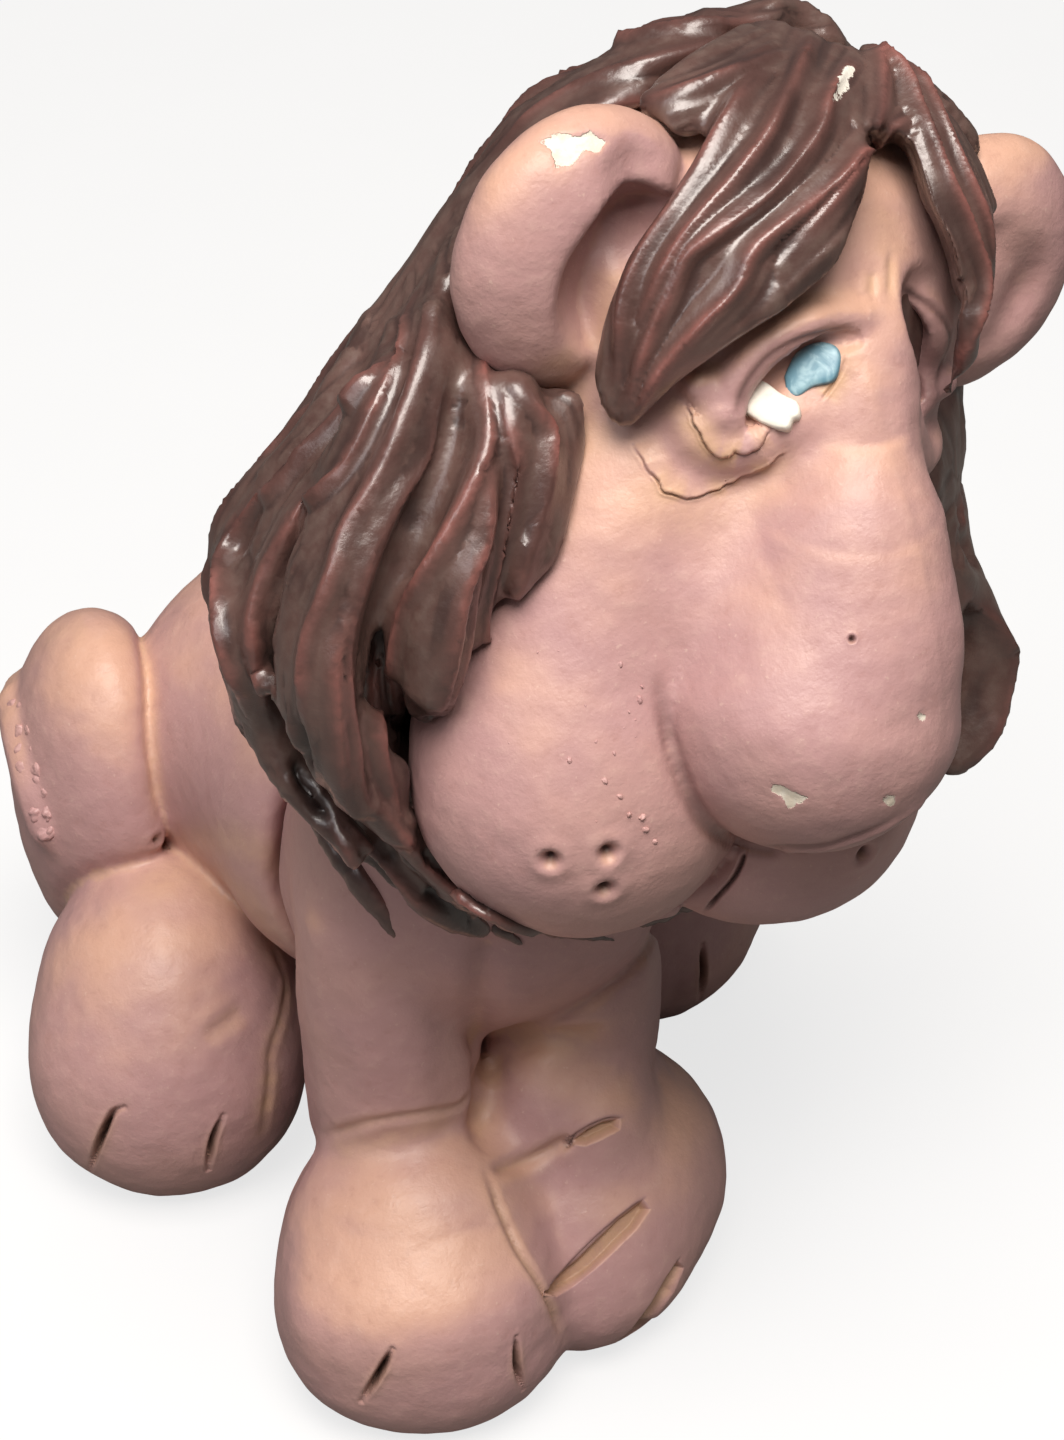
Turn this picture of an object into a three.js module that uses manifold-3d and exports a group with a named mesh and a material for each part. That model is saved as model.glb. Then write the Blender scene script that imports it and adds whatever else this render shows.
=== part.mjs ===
// Painted clay lion: a sitting figure with its heavy head cocked to one side and a mane of applied locks.
// The lion faces -Y, its left side is +X, and it stands on the plane z = 0.
import * as THREE from "three";
import { mergeVertices } from "three/addons/utils/BufferGeometryUtils.js";
import Module from "manifold-3d";

const wasm = await Module();
wasm.setup();

// Driving dimensions, in millimetres and degrees
const seam = 0.3; // clay joint left between pieces that are pressed together

// Head
const headHeight = 165; // midpoint between the ears above the floor
const headSideways = 27; // that point to the lion's left of the body's middle
const headForward = 12; // and in front of it
const headTurn = 7.5; // to the lion's left
const headLean = 22; // left ear down
const headNod = -1.5;
const craniumWidth = 58;
const craniumDepth = 46;
const craniumHeight = 46;
const faceWidth = 56;
const faceDepth = 46;
const faceHeight = 68;
const bridgeRadius = 4;
const noseRadius = 18.3;
const noseReach = 29; // nose bulb's centre in front of the ears
const noseDrop = 44; // and below them
const noseAside = 0.9; // and to the lion's left
const jowlWidth = 41;
const jowlDepth = 35;
const jowlHeight = 36;
const jowlSpread = 14.6; // jowl's centre from the middle of the face
const jowlDrop = 64.5;
const cheekWidth = 37; // clay drawn up from the jowl under the eye
const cheekDepth = 33;
const cheekHeight = 54;
const chinWidth = 30;
const chinDepth = 26;
const chinHeight = 20;
const chinDrop = 74;
const earSpread = 30; // ear's centre from the middle of the head
const earWidth = 31;
const earHeight = 34;
const earDepth = 17;
const earRim = 7;
const earRise = { right: -3, left: 1 };
const browRadius = 3.2;
const lidRadius = 2.2;
const irisRadius = 3.6;
const irisThickness = 3;

// Mane
const maneThickness = 6; // applied strip, from ridge to underside
const maneGroove = 1.2; // furrow combed along a strip
const sideLockAngles = [90, 114, 134, 151, 166]; // round the head from the face
const sideLockWidth = 12.4;
const backLockWidth = 12.4;
const fringeWidth = 9.6;
const cheekLockWidth = 12;
const cheekLockDepth = 11; // built up thicker, to stand out round the cheeks
const beardWidth = 11;

// Body
const chestWidth = 54;
const chestDepth = 44;
const chestHeight = 58;
const bellyHeight = 50;
const neckRadius = 19;
const barrelWidth = 64;
const barrelLength = 72;
const barrelHeight = 59;
const rumpWidth = 79;
const rumpLength = 52;
const rumpHeight = 67;
const haunchWidth = 30;
const haunchLength = 44;
const haunchHeight = 65;
const haunchSpread = 40; // haunch's centre from the middle of the body
const shoulderRadius = 14;
const shoulderHeight = 86;
const ankleHeight = 14;
const ankleRadius = { right: 12.3, left: 13.5 };
const pawWidth = 41;
const pawLength = 46;
const frontPawHeight = 41;
const hindPawHeight = 53;
const soleDepth = 5; // height of the paw's underside that is pressed flat
const toeSlitWidth = 1.8;
const toeSlitLength = 16;
const toeSlitHeight = 21;
const tailRadius = 5;
const tuftRadius = 4.6;

// Clay as painted
const HIDE = { color: 0xc4948a, roughness: 0.55, metalness: 0 };
const MANE = { color: 0x4a302c, roughness: 0.35, metalness: 0 };
const IRIS = { color: 0x7fa5b3, roughness: 0.4, metalness: 0 };

const SIDES = [
  ["right", -1],
  ["left", 1],
];

const vec = (point) => new THREE.Vector3(...point);
const mirrored = (point, side) => [point[0] * side, point[1], point[2]];
const lerp = THREE.MathUtils.lerp;
const rad = THREE.MathUtils.degToRad;

// Closed solids from three.js geometry, and back
function toSolid(geometry) {
  const bare = geometry.clone();
  bare.deleteAttribute("normal");
  bare.deleteAttribute("uv");
  const merged = mergeVertices(bare, 1e-4);
  const vertProperties = new Float32Array(merged.attributes.position.array);
  const triVerts = new Uint32Array(merged.index.array);
  return new wasm.Manifold(new wasm.Mesh({ numProp: 3, vertProperties, triVerts }));
}

function toGeometry(solid) {
  const mesh = solid.getMesh();
  const geometry = new THREE.BufferGeometry();
  geometry.setAttribute("position", new THREE.BufferAttribute(new Float32Array(mesh.vertProperties), 3));
  geometry.setIndex(new THREE.BufferAttribute(new Uint32Array(mesh.triVerts), 1));
  geometry.computeVertexNormals();
  return geometry;
}

// A lump of clay, as the depth of a point under its surface: an egg, or a tapered roll between two points
function egg(at, size) {
  const centre = vec(at);
  const radii = vec(size).multiplyScalar(0.5);
  return (point) => {
    const offset = point.clone().sub(centre).divide(radii);
    const ratio = offset.length();
    const slope = offset.divide(radii).length();
    return slope === 0 ? -Math.min(radii.x, radii.y, radii.z) : (ratio * (ratio - 1)) / slope;
  };
}

function roll(from, to, startRadius, endRadius) {
  const axis = new THREE.Line3(vec(from), vec(to));
  const foot = new THREE.Vector3();
  return (point) => {
    const along = axis.closestPointToPointParameter(point, true);
    return axis.at(along, foot).distanceTo(point) - lerp(startRadius, endRadius, along);
  };
}

// Lumps worked into one mass, with the crease between them filled over the blend's width
function mass(lumps, blend) {
  const join = (a, b) => {
    const fill = Math.max(blend - Math.abs(a - b), 0) / blend;
    return Math.min(a, b) - (fill * fill * blend) / 4;
  };
  return (point) => lumps.map((lump) => lump(point)).reduce(join);
}

// The point of a mass's surface, raised by lift, that is seen from its middle in one direction
const farthest = 200;

function surfacePoint(depth, middle, direction, lift) {
  const point = new THREE.Vector3();
  let inside = 0;
  let outside = farthest;
  while (outside - inside > 1e-4) {
    const half = (inside + outside) / 2;
    point.copy(middle).addScaledVector(direction, half);
    if (depth(point) < lift) inside = half;
    else outside = half;
  }
  return point;
}

// The mass as a solid: a net of points drawn out from the middle, spaced for its proportions
function moulded(depth, { middle, proportions, detail }, grow) {
  const ball = new THREE.IcosahedronGeometry(1, detail);
  ball.deleteAttribute("normal");
  ball.deleteAttribute("uv");
  const net = mergeVertices(ball);
  const places = net.attributes.position;
  const hub = vec(middle);
  const direction = new THREE.Vector3();
  for (let i = 0; i < places.count; i += 1) {
    direction.fromBufferAttribute(places, i).multiply(vec(proportions)).normalize();
    const point = surfacePoint(depth, hub, direction, grow);
    places.setXYZ(i, point.x, point.y, point.z);
  }
  return toSolid(net);
}

const mouldedEgg = (at, size, detail, grow) =>
  moulded(egg(at, size), { middle: at, proportions: size, detail }, grow);

// A closed skin over rings of points, flat at both ends
function lofted(rings) {
  const sides = rings[0].length;
  const index = [];
  for (let ring = 0; ring < rings.length - 1; ring += 1) {
    for (let side = 0; side < sides; side += 1) {
      const here = ring * sides + side;
      const next = ring * sides + ((side + 1) % sides);
      index.push(here, here + sides, next, next, here + sides, next + sides);
    }
  }
  const last = (rings.length - 1) * sides;
  for (let side = 1; side < sides - 1; side += 1) {
    index.push(0, side, side + 1, last, last + side + 1, last + side);
  }
  const geometry = new THREE.BufferGeometry().setFromPoints(rings.flat());
  geometry.setIndex(index);
  return toSolid(geometry);
}

// A strip swept along hand-placed points; outline(s) gives its section there as [across, out] points
function swept(points, facing, steps, outline, grow) {
  const curve = new THREE.CatmullRomCurve3(points.map(vec), false, "centripetal");
  const rings = [];
  for (let step = 0; step <= steps; step += 1) {
    const s = step / steps;
    const at = curve.getPointAt(s);
    const along = curve.getTangentAt(s);
    const out = facing(at, along);
    const across = new THREE.Vector3().crossVectors(along, out).normalize();
    if (step === 0) at.addScaledVector(along, -grow);
    if (step === steps) at.addScaledVector(along, grow);
    rings.push(outline(s).map(([a, b]) => at.clone().addScaledVector(across, a).addScaledVector(out, b)));
  }
  return lofted(rings);
}

// A round roll of clay with blunt ends
const rollSides = 10;
const bluntEnd = 0.35; // end's radius, as a share of the roll's
const rollHint = [0.31, -0.2, 0.93]; // lies along none of the rolls
const rollFacing = (at, along) => vec(rollHint).projectOnPlane(along).normalize();

function roundRoll(points, startRadius, endRadius, steps, grow) {
  const outline = (s) => {
    const swell = Math.sqrt(1 - Math.abs(2 * s - 1) ** 8);
    const radius = lerp(startRadius, endRadius, s) * Math.max(swell, bluntEnd) + grow;
    return Array.from({ length: rollSides }, (_, k) => {
      const turn = (2 * Math.PI * k) / rollSides;
      return [radius * Math.cos(turn), radius * Math.sin(turn)];
    });
  };
  return swept(points, rollFacing, steps, outline, grow);
}

// A lock of the mane: two ridges with a furrow between them on a level underside, thinning to the tip
const maneHeart = [0, 6, -28]; // the locks face outwards from here
const lockSteps = 8;
const lockTip = 0.28; // tip's width, as a share of the lock's
const lockThinning = 0.35; // share of its thickness that it loses towards the tip

function combedLock(points, { width, depth = maneThickness, root, fullest = 0.5 }, grow) {
  const facing = (at) => at.clone().sub(vec(maneHeart)).normalize();
  const outline = (s) => {
    const past = (s - fullest) / (1 - fullest);
    const taper = past < 0 ? lerp(root, 1, s / fullest) : lerp(1, lockTip, past ** 1.8);
    const half = (width / 2) * taper + grow;
    const under = -depth - grow;
    const top = grow - maneThickness * lockThinning * Math.max(past, 0) ** 2;
    const edge = top - maneThickness * 0.45 * taper;
    const shoulder = top - maneThickness * 0.11 * taper;
    const furrow = top - maneGroove * taper;
    return [
      [-half * 0.7, under],
      [half * 0.7, under],
      [half, edge],
      [half / 2, shoulder],
      [0, furrow],
      [-half / 2, shoulder],
      [-half, edge],
    ];
  };
  return swept(points, facing, lockSteps, outline, grow);
}

// The figure, with the head as a turned group inside it
const figure = new THREE.Group();
const body = new THREE.Group();
const head = new THREE.Group();
head.position.set(headSideways, -headForward, headHeight);
head.rotation.set(rad(headNod), rad(headLean), rad(headTurn), "ZYX");
figure.add(body, head);
figure.updateMatrixWorld(true);

// Each piece is trimmed where it meets the pieces already in place, which leaves the seam between them
const inPlace = [];
const touches = (a, b) => [0, 1, 2].every((k) => a.min[k] < b.max[k] && b.min[k] < a.max[k]);

function press(group, name, paint, shape) {
  let solid = shape(0).transform(group.matrixWorld.elements);
  for (const other of inPlace) {
    if (touches(solid.boundingBox(), other.boundingBox())) solid = solid.subtract(other);
  }
  const bodies = solid.decompose().sort((a, b) => b.volume() - a.volume());
  const settled = bodies[0].transform(group.matrixWorld.clone().invert().elements);
  const mesh = new THREE.Mesh(toGeometry(settled), new THREE.MeshStandardMaterial(paint));
  mesh.name = name;
  group.add(mesh);
  inPlace.push(shape(seam).transform(group.matrixWorld.elements));
}

// Skull. Places on the head are measured from the midpoint between the ears.
const craniumAt = [0, 4, -4];
const faceAt = [0, 2, -32];
const skullMiddle = [0, 6, -20];
const skullBlend = 12;
const skull = mass(
  [
    egg(craniumAt, [craniumWidth, craniumDepth, craniumHeight]),
    egg(faceAt, [faceWidth, faceDepth, faceHeight]),
  ],
  skullBlend,
);
press(head, "skull", HIDE, (grow) =>
  moulded(skull, { middle: skullMiddle, proportions: [1, 1, 1.5], detail: 4 }, grow),
);

// A hand-placed point set down on the skull, raised by lift
function onSkull(point, lift) {
  const direction = vec(point).sub(vec(skullMiddle)).normalize();
  return surfacePoint(skull, vec(skullMiddle), direction, lift).toArray();
}

// Nose, jowls and chin
const noseBlend = 6;
const bridgeWidening = 1.2; // between the brow and the eyes
const noseAt = [noseAside, -noseReach, -noseDrop];
const browLine = onSkull([0, -17, -1], -bridgeRadius / 2);
const bridgeAt = onSkull([0, -20, -11], bridgeRadius / 4);
const nose = mass(
  [
    roll(browLine, bridgeAt, bridgeRadius, bridgeRadius * bridgeWidening),
    roll(bridgeAt, noseAt, bridgeRadius * bridgeWidening, noseRadius),
  ],
  noseBlend,
);
const noseMiddle = vec(bridgeAt).lerp(vec(noseAt), 0.8).toArray();
press(head, "nose", HIDE, (grow) =>
  moulded(nose, { middle: noseMiddle, proportions: [1, 1, 1.2], detail: 5 }, grow),
);

const jowlReach = 15; // in front of the ears
const cheekReach = 7;
const jowlBlend = 14;
for (const [name, side] of SIDES) {
  const jowlAt = [side * jowlSpread, -jowlReach, -jowlDrop];
  const cheekAt = [side * jowlSpread, -cheekReach, -jowlDrop + jowlHeight / 2];
  const jowl = mass(
    [
      egg(jowlAt, [jowlWidth, jowlDepth, jowlHeight]),
      egg(cheekAt, [cheekWidth, cheekDepth, cheekHeight]),
    ],
    jowlBlend,
  );
  const middle = vec(jowlAt).lerp(vec(cheekAt), 0.4).toArray();
  press(head, `${name}_jowl`, HIDE, (grow) =>
    moulded(jowl, { middle, proportions: [1, 1, 1.2], detail: 4 }, grow),
  );
}

const chinReach = 11;
press(head, "chin", HIDE, (grow) =>
  mouldedEgg([0, -chinReach, -chinDrop], [chinWidth, chinDepth, chinHeight], 2, grow),
);

// Ears: thick-rimmed cups that face forwards, with the hollow nearer the head
const hollowShift = 2; // towards the head
for (const [name, side] of SIDES) {
  const earAt = [side * earSpread, 0, earRise[name]];
  const hollowAt = [side * (earSpread - hollowShift), -earDepth * 0.55, earRise[name] - 1];
  const hollowSize = [earWidth - 2 * earRim, earDepth, earHeight - 2 * earRim];
  press(head, `${name}_ear`, HIDE, (grow) => {
    const disc = mouldedEgg(earAt, [earWidth, earDepth, earHeight], 4, grow);
    return disc.subtract(mouldedEgg(hollowAt, hollowSize, 2, -grow));
  });
}

// Eyes: a drooping brow roll, a pinched lower lid and a flat painted iris between them
const browPoints = [
  [3.5, -19, 0.5],
  [10.5, -17.5, -2],
  [15.5, -14.5, -8],
  [17.5, -12.5, -15],
];
const lidPoints = [
  [6, -18.5, -12],
  [10, -17.5, -15.5],
  [14.5, -15.5, -18],
  [18, -12.5, -16.5],
];
const irisPoint = [7.2, -18.5, -5.8];
const gaze = [0.25, -1, -0.05];

for (const [name, side] of SIDES) {
  const laid = (points, lift) => points.map((point) => onSkull(mirrored(point, side), lift));
  press(head, `${name}_brow`, HIDE, (grow) =>
    roundRoll(laid(browPoints, browRadius / 2), browRadius, browRadius * 0.8, 7, grow),
  );
  press(head, `${name}_lower_lid`, HIDE, (grow) =>
    roundRoll(laid(lidPoints, lidRadius / 3), lidRadius, lidRadius, 7, grow),
  );
  press(head, `${name}_iris`, IRIS, (grow) => {
    const radius = irisRadius + grow;
    const disc = new THREE.CylinderGeometry(radius, radius, irisThickness + 2 * grow, 16);
    const forward = vec(mirrored(gaze, side)).normalize();
    disc.applyQuaternion(new THREE.Quaternion().setFromUnitVectors(new THREE.Vector3(0, 1, 0), forward));
    disc.translate(...onSkull(mirrored(irisPoint, side), 0));
    return toSolid(disc);
  });
}

// Body: chest with its neck drawn up into the head, and a trunk behind it
const bodyBlend = 12;
const chestAt = [-5, 2, 78];
const bellyAt = [-4, 14, 62];
const nape = [0, 12, -62]; // from the ears
const neckTop = vec(nape).applyMatrix4(head.matrixWorld).toArray();
const chest = mass(
  [
    egg(chestAt, [chestWidth, chestDepth, chestHeight]),
    egg(bellyAt, [chestWidth, chestDepth, bellyHeight]),
    roll(chestAt, neckTop, neckRadius, neckRadius),
  ],
  bodyBlend,
);
const chestMiddle = vec(chestAt).lerp(vec(bellyAt), 0.35).toArray();
press(body, "chest", HIDE, (grow) =>
  moulded(chest, { middle: chestMiddle, proportions: [1, 1, 1.3], detail: 3 }, grow),
);

const barrelAt = [-3, 32, 60];
const rumpAt = [-1, 62, 54];
const trunk = mass(
  [
    egg(barrelAt, [barrelWidth, barrelLength, barrelHeight]),
    egg(rumpAt, [rumpWidth, rumpLength, rumpHeight]),
  ],
  bodyBlend,
);
const trunkMiddle = vec(barrelAt).lerp(vec(rumpAt), 0.5).toArray();
press(body, "trunk", HIDE, (grow) =>
  moulded(trunk, { middle: trunkMiddle, proportions: [1, 1.3, 1], detail: 4 }, grow),
);

// A paw is a domed lump with a flat sole and slits between its toes
const ground = new THREE.BoxGeometry(farthest, farthest, farthest);
ground.translate(0, 0, -farthest / 2);
const underGround = toSolid(ground);

const pawBlend = 6;

function paw([x, y], heading, height, slits, grow) {
  const middle = height / 2 - soleDepth;
  const heelAt = [0, 2, middle];
  const toesAt = [0, -pawLength * 0.18, middle * 0.8];
  const lump = mass(
    [
      egg(heelAt, [pawWidth, pawLength, height]),
      egg(toesAt, [pawWidth, pawLength * 0.72, height * 0.75]),
    ],
    pawBlend,
  );
  let solid = moulded(lump, { middle: [0, 0, middle], proportions: [1, 1, 1], detail: 3 }, grow);
  for (const angle of slits) {
    const slit = new THREE.SphereGeometry(0.5, 6, 4);
    slit.scale(toeSlitWidth, toeSlitLength - 2 * grow, toeSlitHeight - 2 * grow);
    slit.translate(0, -pawLength / 2, middle * 0.55);
    slit.rotateZ(rad(angle));
    solid = solid.subtract(toSolid(slit));
  }
  const place = new THREE.Matrix4().makeRotationZ(rad(heading)).setPosition(x, y, 0);
  const placed = solid.transform(place.elements);
  return grow > 0 ? placed : placed.subtract(underGround);
}

const PAWS = [
  ["right_front_paw", [-23, -14], -24, frontPawHeight, [-20, 24]],
  ["left_front_paw", [2.5, -10], -58, frontPawHeight, [-34, 2, 36]],
  ["right_hind_paw", [-41.5, 41.5], -24, hindPawHeight, [-26, 20]],
  ["left_hind_paw", [36, 47], 20, hindPawHeight, [-22, 24]],
];
for (const [name, at, heading, height, slits] of PAWS) {
  press(body, name, HIDE, (grow) => paw(at, heading, height, slits, grow));
}

const shoulderDrop = 8; // of the left shoulder below the right
const shoulderAt = { right: [-22, 0, shoulderHeight], left: [5.5, 0, shoulderHeight - shoulderDrop] };
const ankleAt = { right: [-22, -4, ankleHeight], left: [4, -3, ankleHeight] };
for (const [name] of SIDES) {
  press(body, `${name}_front_leg`, HIDE, (grow) =>
    roundRoll([shoulderAt[name], ankleAt[name]], shoulderRadius, ankleRadius[name], 6, grow),
  );
}

const haunchBack = 68; // haunch's centre behind the body's origin
const haunchRise = 45; // and above the floor
const haunchSize = [haunchWidth, haunchLength, haunchHeight];
const haunchAt = (side) => [side * haunchSpread, haunchBack, haunchRise];
for (const [name, side] of SIDES) {
  press(body, `${name}_haunch`, HIDE, (grow) => mouldedEgg(haunchAt(side), haunchSize, 3, grow));
}

// Tail, laid round the rump and the right haunch, with its tuft pressed against the haunch
const tailBlend = 8;
const tailProud = 0.2; // its middle above the surface it is pressed into, as a share of its radius
const tuftProud = -0.5; // the tuft is pressed deeper
const hindquarters = mass([trunk, egg(haunchAt(-1), haunchSize)], tailBlend);
const onHindquarters = (towards, lift) =>
  surfacePoint(hindquarters, vec(rumpAt), vec(towards).normalize(), lift).toArray();
const tailTurns = [
  [3, 20, -8],
  [-13, 29, -14],
  [-29, 30, -12],
  [-42, 26, -2],
];
const tuftTurns = [
  [-42, 26, -2],
  [-49, 17, 5],
  [-52, 8, 5],
  [-53, -1, -3],
  [-52, -5, -11],
];
const tailPoints = tailTurns.map((towards) => onHindquarters(towards, tailRadius * tailProud));
const tuftPoints = tuftTurns.map((towards) => onHindquarters(towards, tuftRadius * tuftProud));
press(body, "tail", HIDE, (grow) => roundRoll(tailPoints, tailRadius, tailRadius, 8, grow));
press(body, "tail_tuft", HIDE, (grow) => roundRoll(tuftPoints, tuftRadius, tuftRadius, 8, grow));

// Mane: how far its surface reaches from its axis at each level below the ears
const maneMiddle = 10; // the axis behind the ears
const maneLevels = [
  { drop: -26, right: 4, left: 4, back: 3, front: 4 },
  { drop: -18, right: 21, left: 21, back: 14, front: 16 },
  { drop: -4, right: 36, left: 35, back: 21, front: 20 },
  { drop: 16, right: 42, left: 37, back: 24, front: 24 },
  { drop: 34, right: 49, left: 44, back: 26, front: 28 },
  { drop: 54, right: 56, left: 57, back: 28, front: 28 },
  { drop: 69, right: 49, left: 49, back: 29, front: 26 },
  { drop: 84, right: 32, left: 32, back: 28, front: 18 },
];

// A point on the mane's surface, at an angle round the head from the face
function onMane(angle, level, [name, side]) {
  const across = level[name] * Math.sin(rad(angle));
  const behind = (angle < 90 ? level.front : level.back) * -Math.cos(rad(angle));
  return [side * across, maneMiddle + behind, -level.drop];
}

// The core of clay that carries the locks, with a flat under the middle of each
const lockSlack = 0.4; // room for the locks' straight facets
const lockSeat = maneThickness + seam + lockSlack; // the core's depth below the ridge of a lock
const [RIGHT, LEFT] = SIDES;
const faceAngles = [20, 45, 68];
const coreAngles = [...faceAngles, ...sideLockAngles];

press(head, "mane_core", MANE, (grow) => {
  const inset = (point) => {
    const inwards = vec(maneHeart).sub(vec(point)).normalize();
    return vec(point).addScaledVector(inwards, lockSeat - grow);
  };
  const rings = maneLevels.map((level) => [
    onMane(180, level, RIGHT),
    ...coreAngles.toReversed().map((angle) => onMane(angle, level, RIGHT)),
    onMane(0, level, RIGHT),
    ...coreAngles.map((angle) => onMane(angle, level, LEFT)),
  ]);
  return lofted(rings.map((ring) => ring.map(inset)));
});

// Fringe, swept from the crown to each side of the forehead
const fringePoints = {
  right: [
    [
      [2, 0, 24],
      [-7, -11.9, 20.4],
      [-15.4, -19.4, 9.1],
      [-21.6, -19.3, 1.7],
      [-26.9, -16.8, -6.3],
      [-29.2, -14.5, -18],
    ],
    [
      [-2, 3, 24.5],
      [-12.6, -9.2, 20.5],
      [-19.1, -15.9, 11.2],
      [-24.4, -16.3, 4],
      [-29.1, -14.2, -4.1],
      [-30.5, -13, -16.5],
    ],
    [
      [-5, 6, 24],
      [-17.9, -7.6, 18.9],
      [-23.9, -12.5, 10.6],
      [-27.4, -12.6, 5.3],
      [-30.7, -11.8, -2.3],
      [-31.5, -11.4, -14],
    ],
    [
      [-6, 9, 24.5],
      [-17, 2, 20.5],
      [-26, 0, 13],
      [-31, 1, 5],
    ],
  ],
  left: [
    [
      [5, 0, 24],
      [2, -11, 21.5],
      [3.5, -18, 15.5],
      [7.5, -22, 8],
      [14, -22.5, 0],
      [16.5, -22, -7],
      [16.5, -22, -13],
    ],
    [
      [8, 3, 24.5],
      [8.5, -8, 21.5],
      [12, -14, 15.5],
      [17, -18, 7.5],
      [21.5, -19, -1],
      [23.5, -18, -10],
    ],
    [
      [9, 9, 24.5],
      [18, 2, 20.5],
      [26, 0, 13],
      [31, 1, 6],
    ],
  ],
};
const fringeForm = { width: fringeWidth, root: 0.6 };
for (const [name] of SIDES) {
  fringePoints[name].forEach((points, k) => {
    const laid = points.map((point) => onSkull(point, lockSeat));
    press(head, `${name}_fringe_lock_${k + 1}`, MANE, (grow) => combedLock(laid, fringeForm, grow));
  });
}

// Locks that come forward under the ears and round the cheeks, and those swept in under the jowls
const cheekPoints = {
  right: [
    [
      [31, -3, -14],
      [35, -10, -28],
      [34, -14, -43],
      [29, -13, -57],
    ],
    [
      [36, 0, -10],
      [43, -7, -28],
      [45, -11, -47],
      [38, -12, -64],
    ],
    [
      [40, 7, -6],
      [51, 0, -28],
      [57, -5, -49],
      [51, -8, -67],
      [37, -10, -77],
    ],
  ],
  left: [
    [
      [30, -3, -14],
      [33, -9, -28],
      [33, -13, -43],
      [29, -13, -57],
    ],
    [
      [34, 0, -10],
      [38, -5, -28],
      [44, -10, -47],
      [38, -12, -64],
    ],
    [
      [37, 7, -6],
      [42, 2, -27],
      [55, -6, -49],
      [52, -9, -64],
      [37, -10, -77],
    ],
  ],
};
const beardPoints = [
  [
    [38, -10, -66],
    [28, -14, -75],
    [17, -16, -80],
    [6, -16, -83],
  ],
  [
    [38, -2, -73],
    [29, -7, -81],
    [19, -10, -87],
    [8, -11, -90],
  ],
  [
    [34, 6, -80],
    [27, 1, -87],
    [19, -3, -93],
    [10, -5, -97],
  ],
];
const cheekForm = { width: cheekLockWidth, depth: cheekLockDepth, root: 0.7 };
const sideForm = { width: sideLockWidth, root: 0.32, fullest: 0.66 };
const backForm = { width: backLockWidth, root: 0.32, fullest: 0.66 };
const beardForm = { width: beardWidth, root: 0.8 };

for (const [name, side] of SIDES) {
  const placed = (points) => points.map((point) => mirrored(point, side));
  cheekPoints[name].forEach((points, k) => {
    press(head, `${name}_cheek_lock_${k + 1}`, MANE, (grow) => combedLock(placed(points), cheekForm, grow));
  });
  sideLockAngles.forEach((angle, k) => {
    const points = maneLevels.map((level) => onMane(angle, level, [name, side]));
    press(head, `${name}_mane_lock_${k + 1}`, MANE, (grow) => combedLock(points, sideForm, grow));
  });
  beardPoints.forEach((points, k) => {
    press(head, `${name}_beard_lock_${k + 1}`, MANE, (grow) => combedLock(placed(points), beardForm, grow));
  });
}
const backPoints = maneLevels.map((level) => onMane(180, level, LEFT));
press(head, "back_mane_lock", MANE, (grow) => combedLock(backPoints, backForm, grow));

// The origin is the middle of the footprint
const box = new THREE.Box3().setFromObject(figure, true);
const centre = box.getCenter(new THREE.Vector3());
figure.position.set(-centre.x, -centre.y, -box.min.z);

export default figure;
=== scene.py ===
"""Looks for the painted clay lion, laid out as an add-on and run as a script."""

import functools
import math
import typing

import bmesh
import bpy
import numpy as np
import openvdb as vdb
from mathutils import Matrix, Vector, kdtree, noise


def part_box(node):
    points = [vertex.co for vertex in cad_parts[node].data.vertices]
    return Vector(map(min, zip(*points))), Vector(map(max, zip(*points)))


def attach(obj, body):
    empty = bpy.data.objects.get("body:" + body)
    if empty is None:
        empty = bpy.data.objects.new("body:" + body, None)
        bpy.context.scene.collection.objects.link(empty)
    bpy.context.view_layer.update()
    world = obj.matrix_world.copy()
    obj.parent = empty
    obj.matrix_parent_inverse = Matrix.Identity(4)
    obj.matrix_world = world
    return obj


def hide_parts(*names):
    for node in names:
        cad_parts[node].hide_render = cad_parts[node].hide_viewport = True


bl_info = {
    "name": "Painted clay lion",
    "version": (1, 0, 0),
    "blender": (4, 5, 0),
    "location": "3D View > Sidebar > Lion",
    "description": "Models and paints the clay lion round its packed solids",
    "category": "Object",
}

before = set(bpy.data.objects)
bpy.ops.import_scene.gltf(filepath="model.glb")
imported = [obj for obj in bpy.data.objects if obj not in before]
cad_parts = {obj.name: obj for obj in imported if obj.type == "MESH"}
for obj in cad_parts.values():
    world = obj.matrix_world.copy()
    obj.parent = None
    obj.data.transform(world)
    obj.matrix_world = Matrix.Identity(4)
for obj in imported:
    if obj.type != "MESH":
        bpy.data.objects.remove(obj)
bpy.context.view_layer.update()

MM = 0.001
SIDES = ("right", "left")
MOST_TRIANGLES = 190000

# Each piece's grain as a share of the finest step
GRAINS = {"head": 1.05, "forequarters": 1.0, "hindquarters": 1.2, "mane": 1.1, "fringe": 0.7}

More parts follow.
